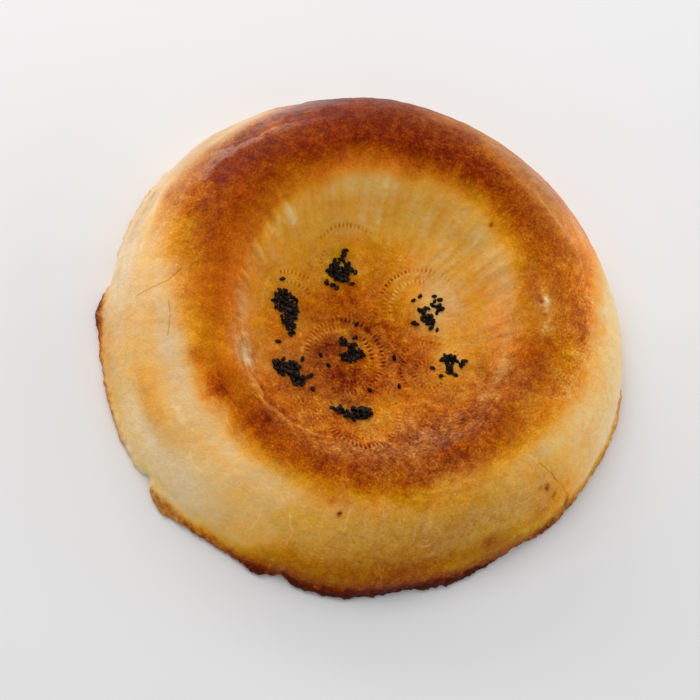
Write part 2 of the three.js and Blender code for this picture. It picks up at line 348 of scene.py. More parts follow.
TOP_ROWS = [  # from station, to station, rows, and points about the loaf per millimetre of row
    (0.0, 0.12, 7, 0.9),
    (0.12, 1.0, 46, 0.72),
    (1.0, 1.5, 30, 1.15),
    (1.5, 2.0, 38, 1.7),
    (2.0, 2.96, 98, 2.2),
]
EDGE_ROWS = [-1.0, -0.75, -0.5, -0.33, -0.16]
EDGE_PER_MM = 0.95
BASE_ROWS = [0.985, 0.96, 0.92, 0.86, 0.78, 0.68, 0.57, 0.45, 0.33, 0.21, 0.1]  # shares of the radius
BASE_PER_MM = 0.5
LEAST_POINTS = 8


def row_azimuths(length, per_mm):
    count = max(LEAST_POINTS, round(length * per_mm))
    return np.arange(count) * 360 / count


def stitch(rows):
    """Triangles of the skin between rows with any numbers of points; indices go row by row"""
    starts = np.cumsum([0] + [len(row) for row in rows])
    triangles = []
    for number in range(len(rows) - 1):
        outer = len(rows[number])
        inner = len(rows[number + 1])
        a = starts[number]
        b = starts[number + 1]
        i = 0
        j = 0
        while i < outer or j < inner:
            here = a + i % outer
            there = b + j % inner
            if (i + 0.5) / outer <= (j + 0.5) / inner:
                i += 1
                triangles.append((here, a + i % outer, there))
            else:
                j += 1
                triangles.append((there, here, b + j % inner))
    return triangles


# The crust's relief, in millimetres along the skin's normal

# Lines on the crust: points in plan, half width, depth (below 0 for a ridge) and how far they darken
# (below 0 lighter). The darkening in dented lines is partly painted shade and the lightening of ridges
# partly painted highlight
CREASES = [
    ([(-31.6, -60.0), (-22.8, -60.9), (-12.1, -63.5), (5.9, -60.6)], 1.0, -0.5, -0.2),
    ([(-33.5, -56.7), (-29.5, -59.6), (-24.9, -61.9)], 0.9, -0.7, -0.26),
    ([(-36.5, -52.0), (-32.5, -54.6), (-28.5, -57.6)], 0.9, -0.5, -0.2),
    ([(50.1, -0.8), (57.8, -6.7), (62.4, -10.9), (66.2, -11.7)], 0.9, -0.45, -0.16),
    ([(52.0, -4.0), (59.0, -10.0), (63.0, -15.0)], 0.7, -0.3, -0.1),
    ([(39.6, -69.8), (53.6, -63.8), (64.3, -55.8)], 0.7, -0.35, -0.16),
    ([(42.0, -73.0), (55.0, -66.8), (66.0, -59.5)], 0.6, -0.25, -0.12),
    ([(-8.7, -4.9), (-14.8, -9.5), (-19.8, -16.5), (-22.8, -22.0), (-21.6, -29.5)], 1.1, -0.6, -0.2),
    ([(-5.5, -7.5), (-9.5, -6.0), (-12.5, -8.0)], 0.8, -0.3, -0.16),
    ([(1.2, 26.5), (3.2, 30.5), (6.5, 33.5), (11.0, 34.9)], 0.8, -0.35, -0.14),
    ([(7.5, 9.6), (4.4, 15.0), (3.4, 21.2), (5.0, 26.8), (8.5, 30.3)], 0.9, -0.35, -0.14),
    ([(-49.8, -1.8), (-49.5, -9.5), (-46.5, -15.7)], 0.7, -0.3, -0.12),
    ([(-60.4, 23.6), (-56.5, 23.2), (-51.0, 22.5)], 1.1, -0.4, -0.16),
    ([(-60.1, 11.8), (-56.5, 12.6), (-52.5, 13.5)], 1.2, -0.6, -0.16),
    ([(-60.6, 17.6), (-57.5, 17.8)], 1.0, -0.5, -0.14),
    ([(-60.5, 2.0), (-57.0, 1.2), (-54.5, 0.4)], 1.4, -0.5, -0.12),
    ([(-21.4, 55.3), (-18.5, 48.5), (-16.5, 43.7)], 1.4, -0.4, -0.08),
    ([(15.5, 60.5), (14.7, 54.8), (13.0, 48.0)], 1.6, -0.4, -0.09),
    ([(28.8, 56.5), (25.6, 49.9), (21.5, 43.5)], 1.2, -0.4, -0.08),
    ([(38.0, 50.0), (33.0, 43.0)], 1.5, -0.4, -0.07),
    ([(59.5, 41.0), (62.8, 36.0), (65.6, 31.0)], 1.9, -0.5, -0.2),
    ([(65.0, 30.5), (68.6, 26.5), (70.4, 20.5)], 1.6, -0.4, -0.16),
    ([(84.5, 27.0), (81.5, 23.0), (82.5, 17.0), (86.5, 18.5)], 0.7, -0.4, -0.14),
    ([(81.6, 8.6), (81.9, 4.4)], 0.8, -0.4, -0.16),
    ([(81.9, -8.6), (81.3, -15.3)], 0.6, -0.35, -0.14),
    ([(104.0, 0.6), (104.0, -6.3)], 0.7, -0.3, -0.14),
    ([(-58.0, -80.2), (-53.0, -83.8)], 1.3, -0.4, -0.1),
    ([(-111.6, 9.0), (-112.4, 0.0), (-112.6, -7.0), (-111.0, -16.0)], 1.4, 0.4, 0.07),
    ([(-107.5, 14.0), (-108.0, 4.0), (-107.0, -4.0)], 1.0, -0.3, -0.06),
    ([(-104.8, 10.5), (-105.0, -2.2), (-102.5, -10.2)], 1.5, 0.3, 0.13),
    ([(-98.0, 16.0), (-99.0, 6.0), (-97.0, -4.0)], 1.2, -0.3, -0.06),
    ([(17.3, -88.6), (18.6, -85.0)], 1.0, 0.4, 0.16),
    ([(26.6, -88.4), (27.4, -83.6)], 0.9, -0.3, -0.06),
]

# Hair cracks in the wall: points in plan and how far they darken (below 0 for pale, floury ones)
HAIR_CRACKS = [
    ([(-95.5, -41.0), (-89.5, -35.2), (-86.0, -31.5), (-83.8, -26.0)], 1.0),
    ([(-82.2, -39.8), (-80.0, -43.0), (-78.0, -46.5), (-75.4, -53.8)], 0.9),
    ([(80.8, -30.3), (91.0, -30.1)], -0.3),
    ([(90.0, -30.1), (97.5, -30.7), (103.6, -31.3)], 0.95),
    ([(104.6, -31.3), (110.9, -30.9)], 0.4),
    ([(17.4, -103.6), (31.0, -101.7), (40.5, -99.4), (48.3, -96.4)], 0.35),
    ([(3.7, -98.3), (5.8, -101.5), (8.4, -104.6), (7.9, -108.8)], -0.37),
    ([(11.0, -102.0), (16.3, -98.3), (19.5, -97.3)], -0.25),
    ([(25.3, -85.7), (26.3, -89.9), (27.4, -96.2)], -0.25),
    ([(47.4, -99.4), (49.0, -101.5), (52.0, -103.6)], -0.37),
    ([(54.2, -77.3), (55.3, -82.5), (55.8, -85.7)], -0.25),
    ([(63.7, -76.8), (64.7, -80.4), (60.5, -84.6)], -0.31),
    ([(62.6, -88.6), (66.5, -84.5), (65.5, -81.0)], -0.25),
    ([(91.4, -66.8), (94.5, -61.0), (99.9, -53.2)], -0.25),
    ([(-38.8, -74.2), (-35.5, -76.4), (-31.0, -80.2)], -0.31),
    ([(-29.0, -77.5), (-24.0, -81.5)], -0.25),
    ([(-45.2, -93.0), (-41.0, -97.2), (-34.0, -99.0)], -0.3),
    ([(-8.2, -100.8), (-7.0, -106.0), (-9.0, -112.0)], -0.31),
    ([(40.0, -62.5), (47.0, -57.0), (49.0, -50.5)], -0.15),
    ([(-28.6, -97.5), (-23.0, -98.2), (-17.3, -97.4)], 0.2),
    ([(-53.6, -104.0), (-47.0, -108.0), (-40.6, -109.8)], 0.18),
    ([(-72.8, -91.8), (-68.6, -93.8)], 0.22),
]
HAIR_REACH = 4.0  # how far from a hair crack its side is still told, in millimetres
HAIR_FADE = (-1.5, 0.5)  # where a hair crack fades out, in millimetres beyond its end
FAR = 1e9

# Small dark marks: plan, radius, how far they darken, depth. The darker dents are partly painted
# shade, and the raised lighter ones (below 0) painted highlight
SPOTS = [
    (-61.5, -56.8, 4.2, 0.17, 0.0), (-45.5, -64.5, 4.6, 0.22, 0.0), (-25.0, -68.0, 5.0, 0.14, 0.0),
    (22.6, -90.1, 0.9, 0.7, 0.2), (99.2, -36.3, 1.0, 0.6, 0.2), (96.5, -38.5, 0.7, 0.3, 0.1),
    (103.7, -36.1, 0.8, 0.45, 0.2), (111.3, -32.3, 1.4, 0.5, 0.1), (28.5, 56.6, 0.9, 0.5, 0.1),
    (81.2, 24.7, 1.4, 0.2, 0.1), (-21.2, -66.9, 1.6, 0.2, 0.0), (86.0, -67.5, 3.0, 0.13, 0.0),
    (39.0, -101.6, 0.7, 0.3, 0.0), (-112.5, 9.0, 1.6, 0.25, 0.2), (-104.5, 6.0, 1.8, 0.22, 0.2),
    (61.2, 36.6, 0.7, -0.2, -0.3), (64.6, 34.0, 0.8, -0.22, -0.3), (68.6, 29.4, 0.7, -0.2, -0.2),
    (62.6, 32.2, 0.8, 0.3, 0.4), (66.4, 27.2, 0.7, 0.25, 0.3),
]

# Groups of small pits: plan, radius
PITTED = [(62.5, 33.5, 3.2), (75.5, -67.0, 3.6), (81.5, -58.5, 3.6), (-111.5, -14.0, 2.6)]


def along_line(x, y, line):
    """How far points lie from a broken line in plan: the distance, the distance with a sign for
    the line's side, and how far beyond the line's ends"""
    nearest = np.full(len(x), FAR)
    side = np.full(len(x), FAR)
    beyond = np.zeros(len(x))
    last = len(line) - 2
    for number, ((ax, ay), (bx, by)) in enumerate(zip(line, line[1:])):
        length = math.hypot(bx - ax, by - ay)
        along = ((x - ax) * (bx - ax) + (y - ay) * (by - ay)) / length
        held = np.clip(along, 0, length) / length
        away = np.hypot(x - ax - held * (bx - ax), y - ay - held * (by - ay))
        aside = ((x - ax) * (by - ay) - (y - ay) * (bx - ax)) / length
        past = np.zeros(len(x))
        if number == 0:
            past = np.maximum(past, -along)
        if number == last:
            past = np.maximum(past, along - length)
        closer = away < nearest
        nearest = np.where(closer, away, nearest)
        side = np.where(closer, aside, side)
        beyond = np.where(closer, past, beyond)
    return nearest, side, beyond


def hair_cracks(x, y):
    """The side of the nearest hair crack in millimetres, and how far it darkens there"""
    nearest = np.full(len(x), FAR)
    side = np.full(len(x), HAIR_REACH)
    tone = np.zeros(len(x))
    for line, dark in HAIR_CRACKS:
        away, aside, beyond = along_line(x, y, line)
        closer = away < nearest
        nearest = np.where(closer, away, nearest)
        side = np.where(closer, aside, side)
        tone = np.where(closer, dark * (1 - smooth_step(beyond, *HAIR_FADE)), tone)
    return np.clip(side, -HAIR_REACH, HAIR_REACH), tone * (nearest < HAIR_REACH)


def skin_point(azimuth, station):
    """Points of the whole smooth skin, the lip and the underside included"""
    outer = edge_radius(azimuth)
    foot = body_radius(azimuth) - LIP_WIDTH
    radius, height = section(azimuth, station)
    flare = (outer - LIP_TOP_BACK - foot) * (1 - np.clip(station / FLARE_STATION, 0, 1)) ** 2
    radius = radius + np.where(station >= LIP_TOP, flare, 0)
    foot = outer - LIP_TOP_BACK
    share = np.clip((LIP_TOP - station) / (LIP_TOP - OUTERMOST), 0, 1)
    lip_radius = foot + (outer - foot) * np.sin(share * math.pi / 2)
    lip_height = LIP_THICKNESS + (EDGE_BEVEL - LIP_THICKNESS) * share**1.5
    share = np.clip((OUTERMOST - station) / (OUTERMOST - BASE_RIM), 0, 1)
    rim_radius = outer - EDGE_BEVEL * share
    rim_height = EDGE_BEVEL * (1 - share)
    base_radius = (outer - EDGE_BEVEL) * (station - BASE_MIDDLE)
    parts = (
        (LIP_TOP, lip_radius, lip_height),
        (OUTERMOST, rim_radius, rim_height),
        (BASE_RIM, base_radius, 0),
    )
    for start, part_radius, part_height in parts:
        radius = np.where(station < start, part_radius, radius)
        height = np.where(station < start, part_height, height)
    x = radius * np.cos(np.radians(azimuth))
    y = radius * np.sin(np.radians(azimuth))
    return np.stack([x, y, height], axis=1)


# How high the radial pleats stand round the rim of the middle, in millimetres at azimuths
PLEAT_HEIGHT = {
    25: 0.28, 60: 0.2, 105: 0.2, 140: 0.3, 155: 0.42, 190: 0.6, 225: 0.6, 245: 0.5, 300: 0.35,
    345: 0.5,
}
PLEAT_START = (1.25, 1.45)  # the stations where they begin and are full
PLEAT_END = 1.7
PLEAT_LONGER = [(60, 60, 0.35)]  # where they end further in: azimuth, spread, stations
PLEAT_FADE = (-0.2, 0.1)

# The drums on which folds, pleats and ribs are laid out: radius, run of a station
FOLD_DRUM = (75, 9)
PLEAT_DRUM = (75, 14)
RIB_DRUM = (20, 70)

# Where the visible crust stands out beyond the plain section: azimuth, spread, reach
BULGES = [(112, 26, 2.0), (52, 14, 1.6), (158, 14, 1.6), (8, 16, -1.2)]
BULGE_STATION = 0.72
BULGE_SPREAD = 0.4

# Where fine wrinkles run along the ring: azimuth, spread, station, spread, amount. Their stripes of
# colour near azimuth 150 are painted sheen streaks
RIBBED = [
    (150, 40, 0.66, 0.2, 1.0), (55, 24, 0.72, 0.16, 0.8), (256, 26, 1.4, 0.2, 0.9),
    (310, 20, 1.5, 0.2, 0.5), (228, 14, 1.4, 0.2, 1.1), (188, 14, 0.3, 0.2, 0.8),
]

# Where the skin is rough with small blisters: azimuth, spread, station, spread, amount
NEAR_SLOPE = [(305, 42, 1.4, 0.4, 1.0)]
BLISTERED = NEAR_SLOPE + [(27, 4.5, 1.05, 0.07, 1.1), (18.5, 4.5, 1.02, 0.06, 0.8)]
BLISTER_LEAST = 0.2  # how high a lump is before it swells into a blister

PIT_EDGE = (0.15, 0.5)  # how high a lump is at a pit's edge and in its middle
CREASE_SHOWN = 0.7  # how far a crease shows on average along its length
EDGE_ROUGH = 0.8
EDGE_CRUMBS = 0.25  # how much rougher the edge is where it is crumbly

# What each kind of mark does where it shows: height in millimetres, darker, rosier, duller. The
# darkening of pricks, pits and the troughs of pleats and ribs is painted shade in their hollows; the
# lightening of rims of pricks and of the tops of pleats and ribs is painted highlight, and on ribs
# near azimuth 150 painted sheen streaks
MARKS = {
    "dents": (-1.0, 0.0, 0.0, 0.0),
    "stains and painted light": (0.0, 1.0, 0.0, 0.0),
    "pricks": (-0.75, 0.5, 0.0, 0.0),
    "rims of pricks": (0.4, -0.2, 0.0, 0.0),
    "pleats": (1.0, -0.27, 0.0, 0.0),
    "tops of pleats": (0.0, 0.0, 1.2, 0.0),
    "ribs": (0.3, -0.12, 0.3, 0.3),
    "blisters": (0.5, -0.45, 0.0, 0.5),
    "pits": (-0.4, 0.2, 0.0, 0.0),
}
HEIGHT, DARKER, ROSIER, DULLER = range(4)


def ribs(azimuth, station):
    """Fine wrinkles along the ring, from about -1 to 1 where the table has them"""
    return patches(RIBBED, azimuth, station) * rough("ribs", unrolled(azimuth, station, *RIB_DRUM))


def pleats(azimuth, station):
    """Radial pleats round the rim of the middle, in millimetres"""
    end = PLEAT_END + sum_of_bumps(PLEAT_LONGER, azimuth)
    start, full = PLEAT_START
    fading, gone = PLEAT_FADE
    shown = smooth_step(station, start, full) * (1 - smooth_step(station, end + fading, end + gone))
    field = rough("pleats", unrolled(azimuth, station, *PLEAT_DRUM))
    return around(PLEAT_HEIGHT, azimuth) * shown * field


def blisters(azimuth, station, points):
    """How far small blisters swell the skin, 0 where there are none"""
    swollen = np.maximum(rough("blisters", points) - BLISTER_LEAST, 0)
    return patches(BLISTERED, azimuth, station) * swollen


def pits(points):
    """1 in the middle of a pit of the pitted places"""
    deep = np.zeros(len(points))
    for x, y, radius in PITTED:
        near = bell(np.hypot(points[:, 0] - x, points[:, 1] - y), radius)
        deep = np.maximum(deep, near * smooth_step(rough("pits", points), *PIT_EDGE))
    return deep


def creases_and_spots(x, y, points):
    """How deep they are in millimetres, and how far they darken: partly real stains, partly painted
    shade in dents and painted highlight on ridges
    """
    depths = np.zeros(len(x))
    tones = np.zeros(len(x))
    uneven = CREASE_SHOWN + rough("creases", points)
    for line, half_width, depth, dark in CREASES:
        shown = uneven * bell(along_line(x, y, line)[0], half_width)
        depths += depth * shown
        tones += dark * shown
    for spot_x, spot_y, radius, dark, depth in SPOTS:
        shown = bell(np.hypot(x - spot_x, y - spot_y), radius)
        depths += depth * shown
        tones += dark * shown
    return depths, tones


def small_marks(azimuth, station, points):
    """How far each kind of mark shows at each point"""
    x = points[:, 0]
    y = points[:, 1]
    depths, tones = creases_and_spots(x, y, points)
    holes, rims = pricks(x, y, points)
    folded = pleats(azimuth, station)
    return {
        "dents": depths * zone("top", station),
        # creases and spots: real stains together with painted shade in dents and painted highlight on
        # ridges
        "stains and painted light": tones * zone("marked", station),
        "pricks": holes * zone("pricked", station),
        "rims of pricks": rims * zone("pricked", station),
        "pleats": folded,
        "tops of pleats": np.maximum(folded, 0),
        "ribs": ribs(azimuth, station),
        "blisters": blisters(azimuth, station, points),
        "pits": pits(points),
    }


def effect(marks, kind):
    """What all marks together do: kind is one column of the table of marks"""
    return sum(MARKS[name][kind] * shown for name, shown in marks.items())


def relief(azimuth, station, points, marks):
    """How far the crust stands off its smooth shape, in millimetres along the normal"""
    drawn = unrolled(azimuth, station, *FOLD_DRUM)
    on_top = zone("top", station)
    torn = EDGE_ROUGH + EDGE_CRUMBS * sum_of_bumps(CRUMBLY, azimuth)
    height = on_top * (rough("swells", points) + rough("dimples", points) + rough("pores", points))
    height += bell(station - BULGE_STATION, BULGE_SPREAD) * sum_of_bumps(BULGES, azimuth)
    height += zone("slope", station) * rough("drawn dough", drawn)
    height += zone("floor", station) * rough("middle", points)
    height += on_top * patches(NEAR_SLOPE, azimuth, station) * rough("near slope", points)
    height += zone("wall", station) * rough("wall", drawn)
    height += zone("edge", station) * torn * rough("torn edge", points)
    return height + effect(marks, HEIGHT)


# How far the crust is baked, from 0 raw dough to 1 dark brown, as values at azimuths round the
# loaf. The browned band lies over the crest; stations say where it begins and ends.
WALL_LEVEL = {
    7: 0.0, 25: 0.0, 45: 0.18, 65: 0.46, 85: 0.58, 105: 0.86, 130: 0.95, 145: 0.42, 160: 0.3,
    178: 0.23, 195: 0.15, 215: 0.19, 235: 0.09, 250: 0.09, 265: 0.19, 280: 0.31, 305: 0.38,
    322: 0.35, 338: 0.25, 352: 0.08,
}
FOOT_LEVEL = {
    7: 0.2, 160: 0.1, 187: 0.18, 203: 0.32, 218: 0.2, 235: 0.04, 250: 0.08, 262: 0.44, 277: 0.78,
    300: 0.9, 322: 0.64, 337: 0.61, 352: 0.4,
}
LIP_LEVEL = {
    10: 0.15, 150: 0.0, 185: 0.12, 195: 0.5, 228: 0.37, 260: 0.37, 275: 0.47, 290: 0.65, 305: 0.7,
    320: 0.5, 335: 0.35,
}
FOOT_REACH = {10: 0.14, 190: 0.1, 250: 0.1, 262: 0.16, 277: 0.56, 305: 0.62, 322: 0.42, 337: 0.2}
BAND_START = {
    7: 0.48, 25: 0.5, 40: 0.5, 55: 0.66, 80: 0.64, 100: 0.52, 142: 0.46, 157: 0.46, 172: 0.42,
    187: 0.44, 202: 0.67, 235: 0.75, 320: 0.79, 340: 0.75, 353: 0.62,
}
BAND_FULL = {
    7: 1.05, 25: 0.9, 40: 0.9, 67: 0.98, 97: 0.82, 130: 0.7, 145: 0.66, 160: 0.76, 175: 0.9,
    190: 0.97, 217: 1.0, 232: 0.91, 250: 0.95, 277: 0.99, 300: 0.91, 322: 0.99, 350: 1.1,
}
BAND_LEVEL = {
    7: 0.65, 22: 0.54, 37: 0.64, 52: 0.7, 67: 0.8, 82: 0.88, 105: 0.92, 130: 0.92, 150: 0.82,
    172: 0.72, 187: 0.65, 205: 0.55, 230: 0.55, 247: 0.69, 275: 0.73, 292: 0.7, 307: 0.75,
    325: 0.76, 340: 0.72, 352: 0.64,
}
BAND_END = {
    7: 1.15, 25: 1.09, 52: 1.02, 75: 0.99, 100: 1.01, 122: 0.99, 130: 0.95, 180: 0.97, 202: 1.04,
    225: 1.1, 300: 1.04, 325: 1.24, 345: 1.18,
}
SLOPE_START = {
    7: 1.55, 22: 1.55, 40: 1.47, 66: 1.4, 90: 1.44, 105: 1.47, 115: 1.4, 142: 1.48, 180: 1.55,
    205: 1.55, 235: 1.41, 260: 1.41, 300: 1.35, 330: 1.65,
}
SLOPE_LEVEL = {
    7: 0.45, 22: 0.3, 37: 0.18, 75: 0.14, 120: 0.14, 150: 0.18, 172: 0.27, 187: 0.33, 217: 0.4,
    232: 0.4, 247: 0.6, 262: 0.62, 290: 0.66, 325: 0.72, 337: 0.7, 352: 0.56,
}
FLOOR_EDGE_LEVEL = {
    7: 0.29, 30: 0.3, 55: 0.23, 82: 0.3, 97: 0.41, 160: 0.41, 187: 0.5, 217: 0.5, 240: 0.66,
    275: 0.64, 300: 0.5, 330: 0.53, 352: 0.47,
}
FLOOR_LEVEL = {
    7: 0.63, 30: 0.52, 52: 0.41, 85: 0.39, 112: 0.52, 140: 0.62, 180: 0.63, 210: 0.56, 240: 0.76,
    270: 0.78, 295: 0.65, 340: 0.7,
}
MIDDLE_LEVEL = 0.66
FLOOR_EDGE_SPAN = (1.68, 2.12)
FLOOR_FULL = 2.6

# How grainy the browning is round the loaf, on the wall and above it
WALL_GRAININESS = {
    15: 2.2, 60: 0.7, 100: 0.75, 150: 1.0, 195: 1.3, 235: 1.0, 270: 0.85, 320: 0.9, 345: 1.4,
}
GRAININESS = {20: 1.0, 90: 1.0, 150: 0.8, 200: 0.75, 240: 0.85, 285: 1.15, 320: 1.15, 345: 1.1}
SLOPE_GRAINIER = 0.3
CRUMBS_GRAINIER = 1.1

# The lip's tone: where it begins and is full, in millimetres beyond the body, how much further in
# it reaches where the edge is crumbly, and how mottled it is on smooth and on crumbly stretches
LIP_TONE = (-1.6, 0.8)
LIP_TONE_CRUMBLY = 1.6
LIP_MOTTLE = 0.55
LIP_MOTTLE_CRUMBLY = 0.55

# The underside, in browning and in flour
UNDER_BROWNING = 0.42
UNDER_FLOUR = 0.45

# Patches that are more or less baked: azimuth, spread, station, spread, amount. The paler ones on the
# shoulder about azimuths 148 to 152 are partly painted highlight along the sheen streak there
BAKED_PATCHES = [
    (5, 25, 1.52, 0.08, -0.06), (8, 20, 0.5, 0.12, 0.05), (14, 9, 0.76, 0.08, 0.1),
    (30, 12, 0.32, 0.1, -0.05), (38, 6, 0.38, 0.08, -0.12), (48, 22, 1.15, 0.14, -0.07),
    (50, 7, 0.43, 0.08, 0.18), (50, 12, 0.6, 0.14, 0.1), (58, 8, 0.88, 0.06, 0.07),
    (62, 18, 0.82, 0.09, -0.1), (67, 10, 1.47, 0.1, -0.05), (70, 16, 0.68, 0.12, 0.1),
    (77, 9, 0.91, 0.08, -0.04), (82, 7, 0.84, 0.05, -0.12), (94, 16, 0.7, 0.12, -0.18),
    (114, 14, 1.46, 0.1, -0.02), (122, 9, 1.06, 0.06, 0.05), (124, 16, 1.43, 0.1, -0.07),
    (128, 10, 0.86, 0.06, 0.07), (132, 16, 0.6, 0.1, 0.06), (148, 7, 0.5, 0.08, -0.16),
    (152, 7, 0.79, 0.08, -0.06), (155, 18, 0.35, 0.2, 0.06), (158, 8, 0.52, 0.08, -0.04),
    (160, 7, 0.44, 0.08, 0.14), (160, 9, 0.86, 0.08, 0.08), (165, 22, 1.3, 0.07, 0.08),
    (165, 22, 1.5, 0.08, -0.06), (168, 8, 0.8, 0.07, 0.09), (171, 10, 0.56, 0.08, 0.04),
    (173, 7, 0.62, 0.07, 0.12), (180, 7, 0.55, 0.07, 0.06), (186, 8, 0.42, 0.1, -0.03),
    (186, 7, 0.78, 0.07, -0.08), (206, 9, 0.82, 0.08, 0.05), (212, 8, 0.1, 0.12, 0.08),
    (222, 8, 0.48, 0.08, -0.07), (228, 10, 0.45, 0.1, 0.19), (231, 8, 0.34, 0.08, -0.05),
    (232, 13, 1.66, 0.16, 0.1), (238, 8, 0.8, 0.06, 0.07), (243, 14, 0.6, 0.14, 0.05),
    (243, 9, 0.83, 0.08, 0.03), (250, 12, 1.42, 0.08, 0.14), (273, 8, 0.73, 0.07, -0.03),
    (278, 9, 0.79, 0.05, 0.06), (284, 10, 0.17, 0.08, -0.08), (285, 18, 1.5, 0.14, 0.05),
    (297, 14, 0.06, 0.08, 0.1), (297, 9, 0.87, 0.06, -0.07), (300, 12, 0.16, 0.08, -0.04),
    (300, 14, 0.2, 0.1, -0.08), (302, 26, 0.54, 0.07, 0.06), (312, 9, 0.78, 0.05, 0.07),
    (316, 10, 0.2, 0.08, -0.06), (318, 16, 0.28, 0.07, 0.06), (329, 12, 0.27, 0.1, 0.08),
    (342, 12, 0.36, 0.14, 0.05), (348, 7, 0.84, 0.06, 0.08), (350, 9, 0.85, 0.08, 0.03),
]

# Where the crust is rosier (above 0) or yellower (below 0): azimuth, spread, station, spread, amount.
# On the inner slopes between azimuths 195 and 350 the rosy cast is partly painted pinkish sheen
ROSY_PATCHES = [
    (0, 22, 0.2, 0.14, 0.3), (14, 30, 0.5, 0.3, 0.75), (19, 12, 0.34, 0.12, 0.6),
    (25, 10, 0.58, 0.1, 0.3), (28, 22, 1.6, 0.14, 0.5), (50, 16, 0.58, 0.14, 0.5),
    (60, 18, 0.58, 0.16, 0.4), (75, 24, 1.22, 0.12, -0.2), (77, 9, 0.91, 0.08, -0.5),
    (90, 8, 0.88, 0.08, -0.2), (92, 20, 0.7, 0.16, -0.7), (105, 55, 1.72, 0.26, -0.25),
    (110, 34, 0.86, 0.14, -0.35), (115, 60, 1.2, 0.16, 0.3), (116, 12, 1.48, 0.1, -0.3),
    (128, 10, 0.86, 0.06, -0.35), (130, 50, 1.3, 0.08, 0.2), (152, 7, 0.79, 0.08, -0.35),
    (157, 10, 0.65, 0.08, -0.4), (158, 8, 0.52, 0.08, -0.35), (165, 26, 0.85, 0.2, 0.15),
    (179, 9, 0.23, 0.1, -0.2), (182, 8, 0.29, 0.08, -0.2), (183, 10, 0.3, 0.14, -0.25),
    (185, 26, 0.6, 0.14, 0.1), (186, 8, 0.42, 0.1, -0.3), (186, 7, 0.78, 0.07, -0.3),
    (190, 12, 0.46, 0.12, 0.25), (190, 14, 0.84, 0.08, -0.25), (193, 14, 0.24, 0.2, -0.4),
    (195, 24, 1.35, 0.3, 0.35), (226, 11, 1.42, 0.18, 0.6), (228, 9, 0.47, 0.08, 0.15),
    (238, 8, 0.82, 0.08, 0.35), (241, 14, 0.12, 0.25, -0.4), (241, 14, 0.55, 0.14, 0.3),
    (242, 10, 0.2, 0.12, -0.25), (242, 10, 0.7, 0.12, 0.35), (245, 30, 2.4, 0.3, -0.1),
    (250, 14, 0.03, 0.06, 0.2), (272, 14, 0.3, 0.1, 0.2), (280, 10, 0.4, 0.12, 0.4),
    (290, 20, 0.76, 0.06, 0.35), (300, 14, 0.14, 0.12, -0.6), (300, 12, 0.19, 0.1, -0.15),
    (304, 24, 1.22, 0.28, -0.35), (305, 50, 0.4, 0.36, -0.68), (316, 40, 0.06, 0.18, -0.6),
    (317, 12, 0.53, 0.08, -0.3), (317, 16, 0.55, 0.2, -0.2), (318, 14, 0.56, 0.1, -0.4),
    (330, 40, 2.4, 0.4, 0.24), (340, 14, 1.5, 0.16, -0.25), (348, 8, 0.84, 0.08, 0.3),
    (350, 22, 0.3, 0.2, 0.25), (350, 9, 0.85, 0.08, -0.15),
]

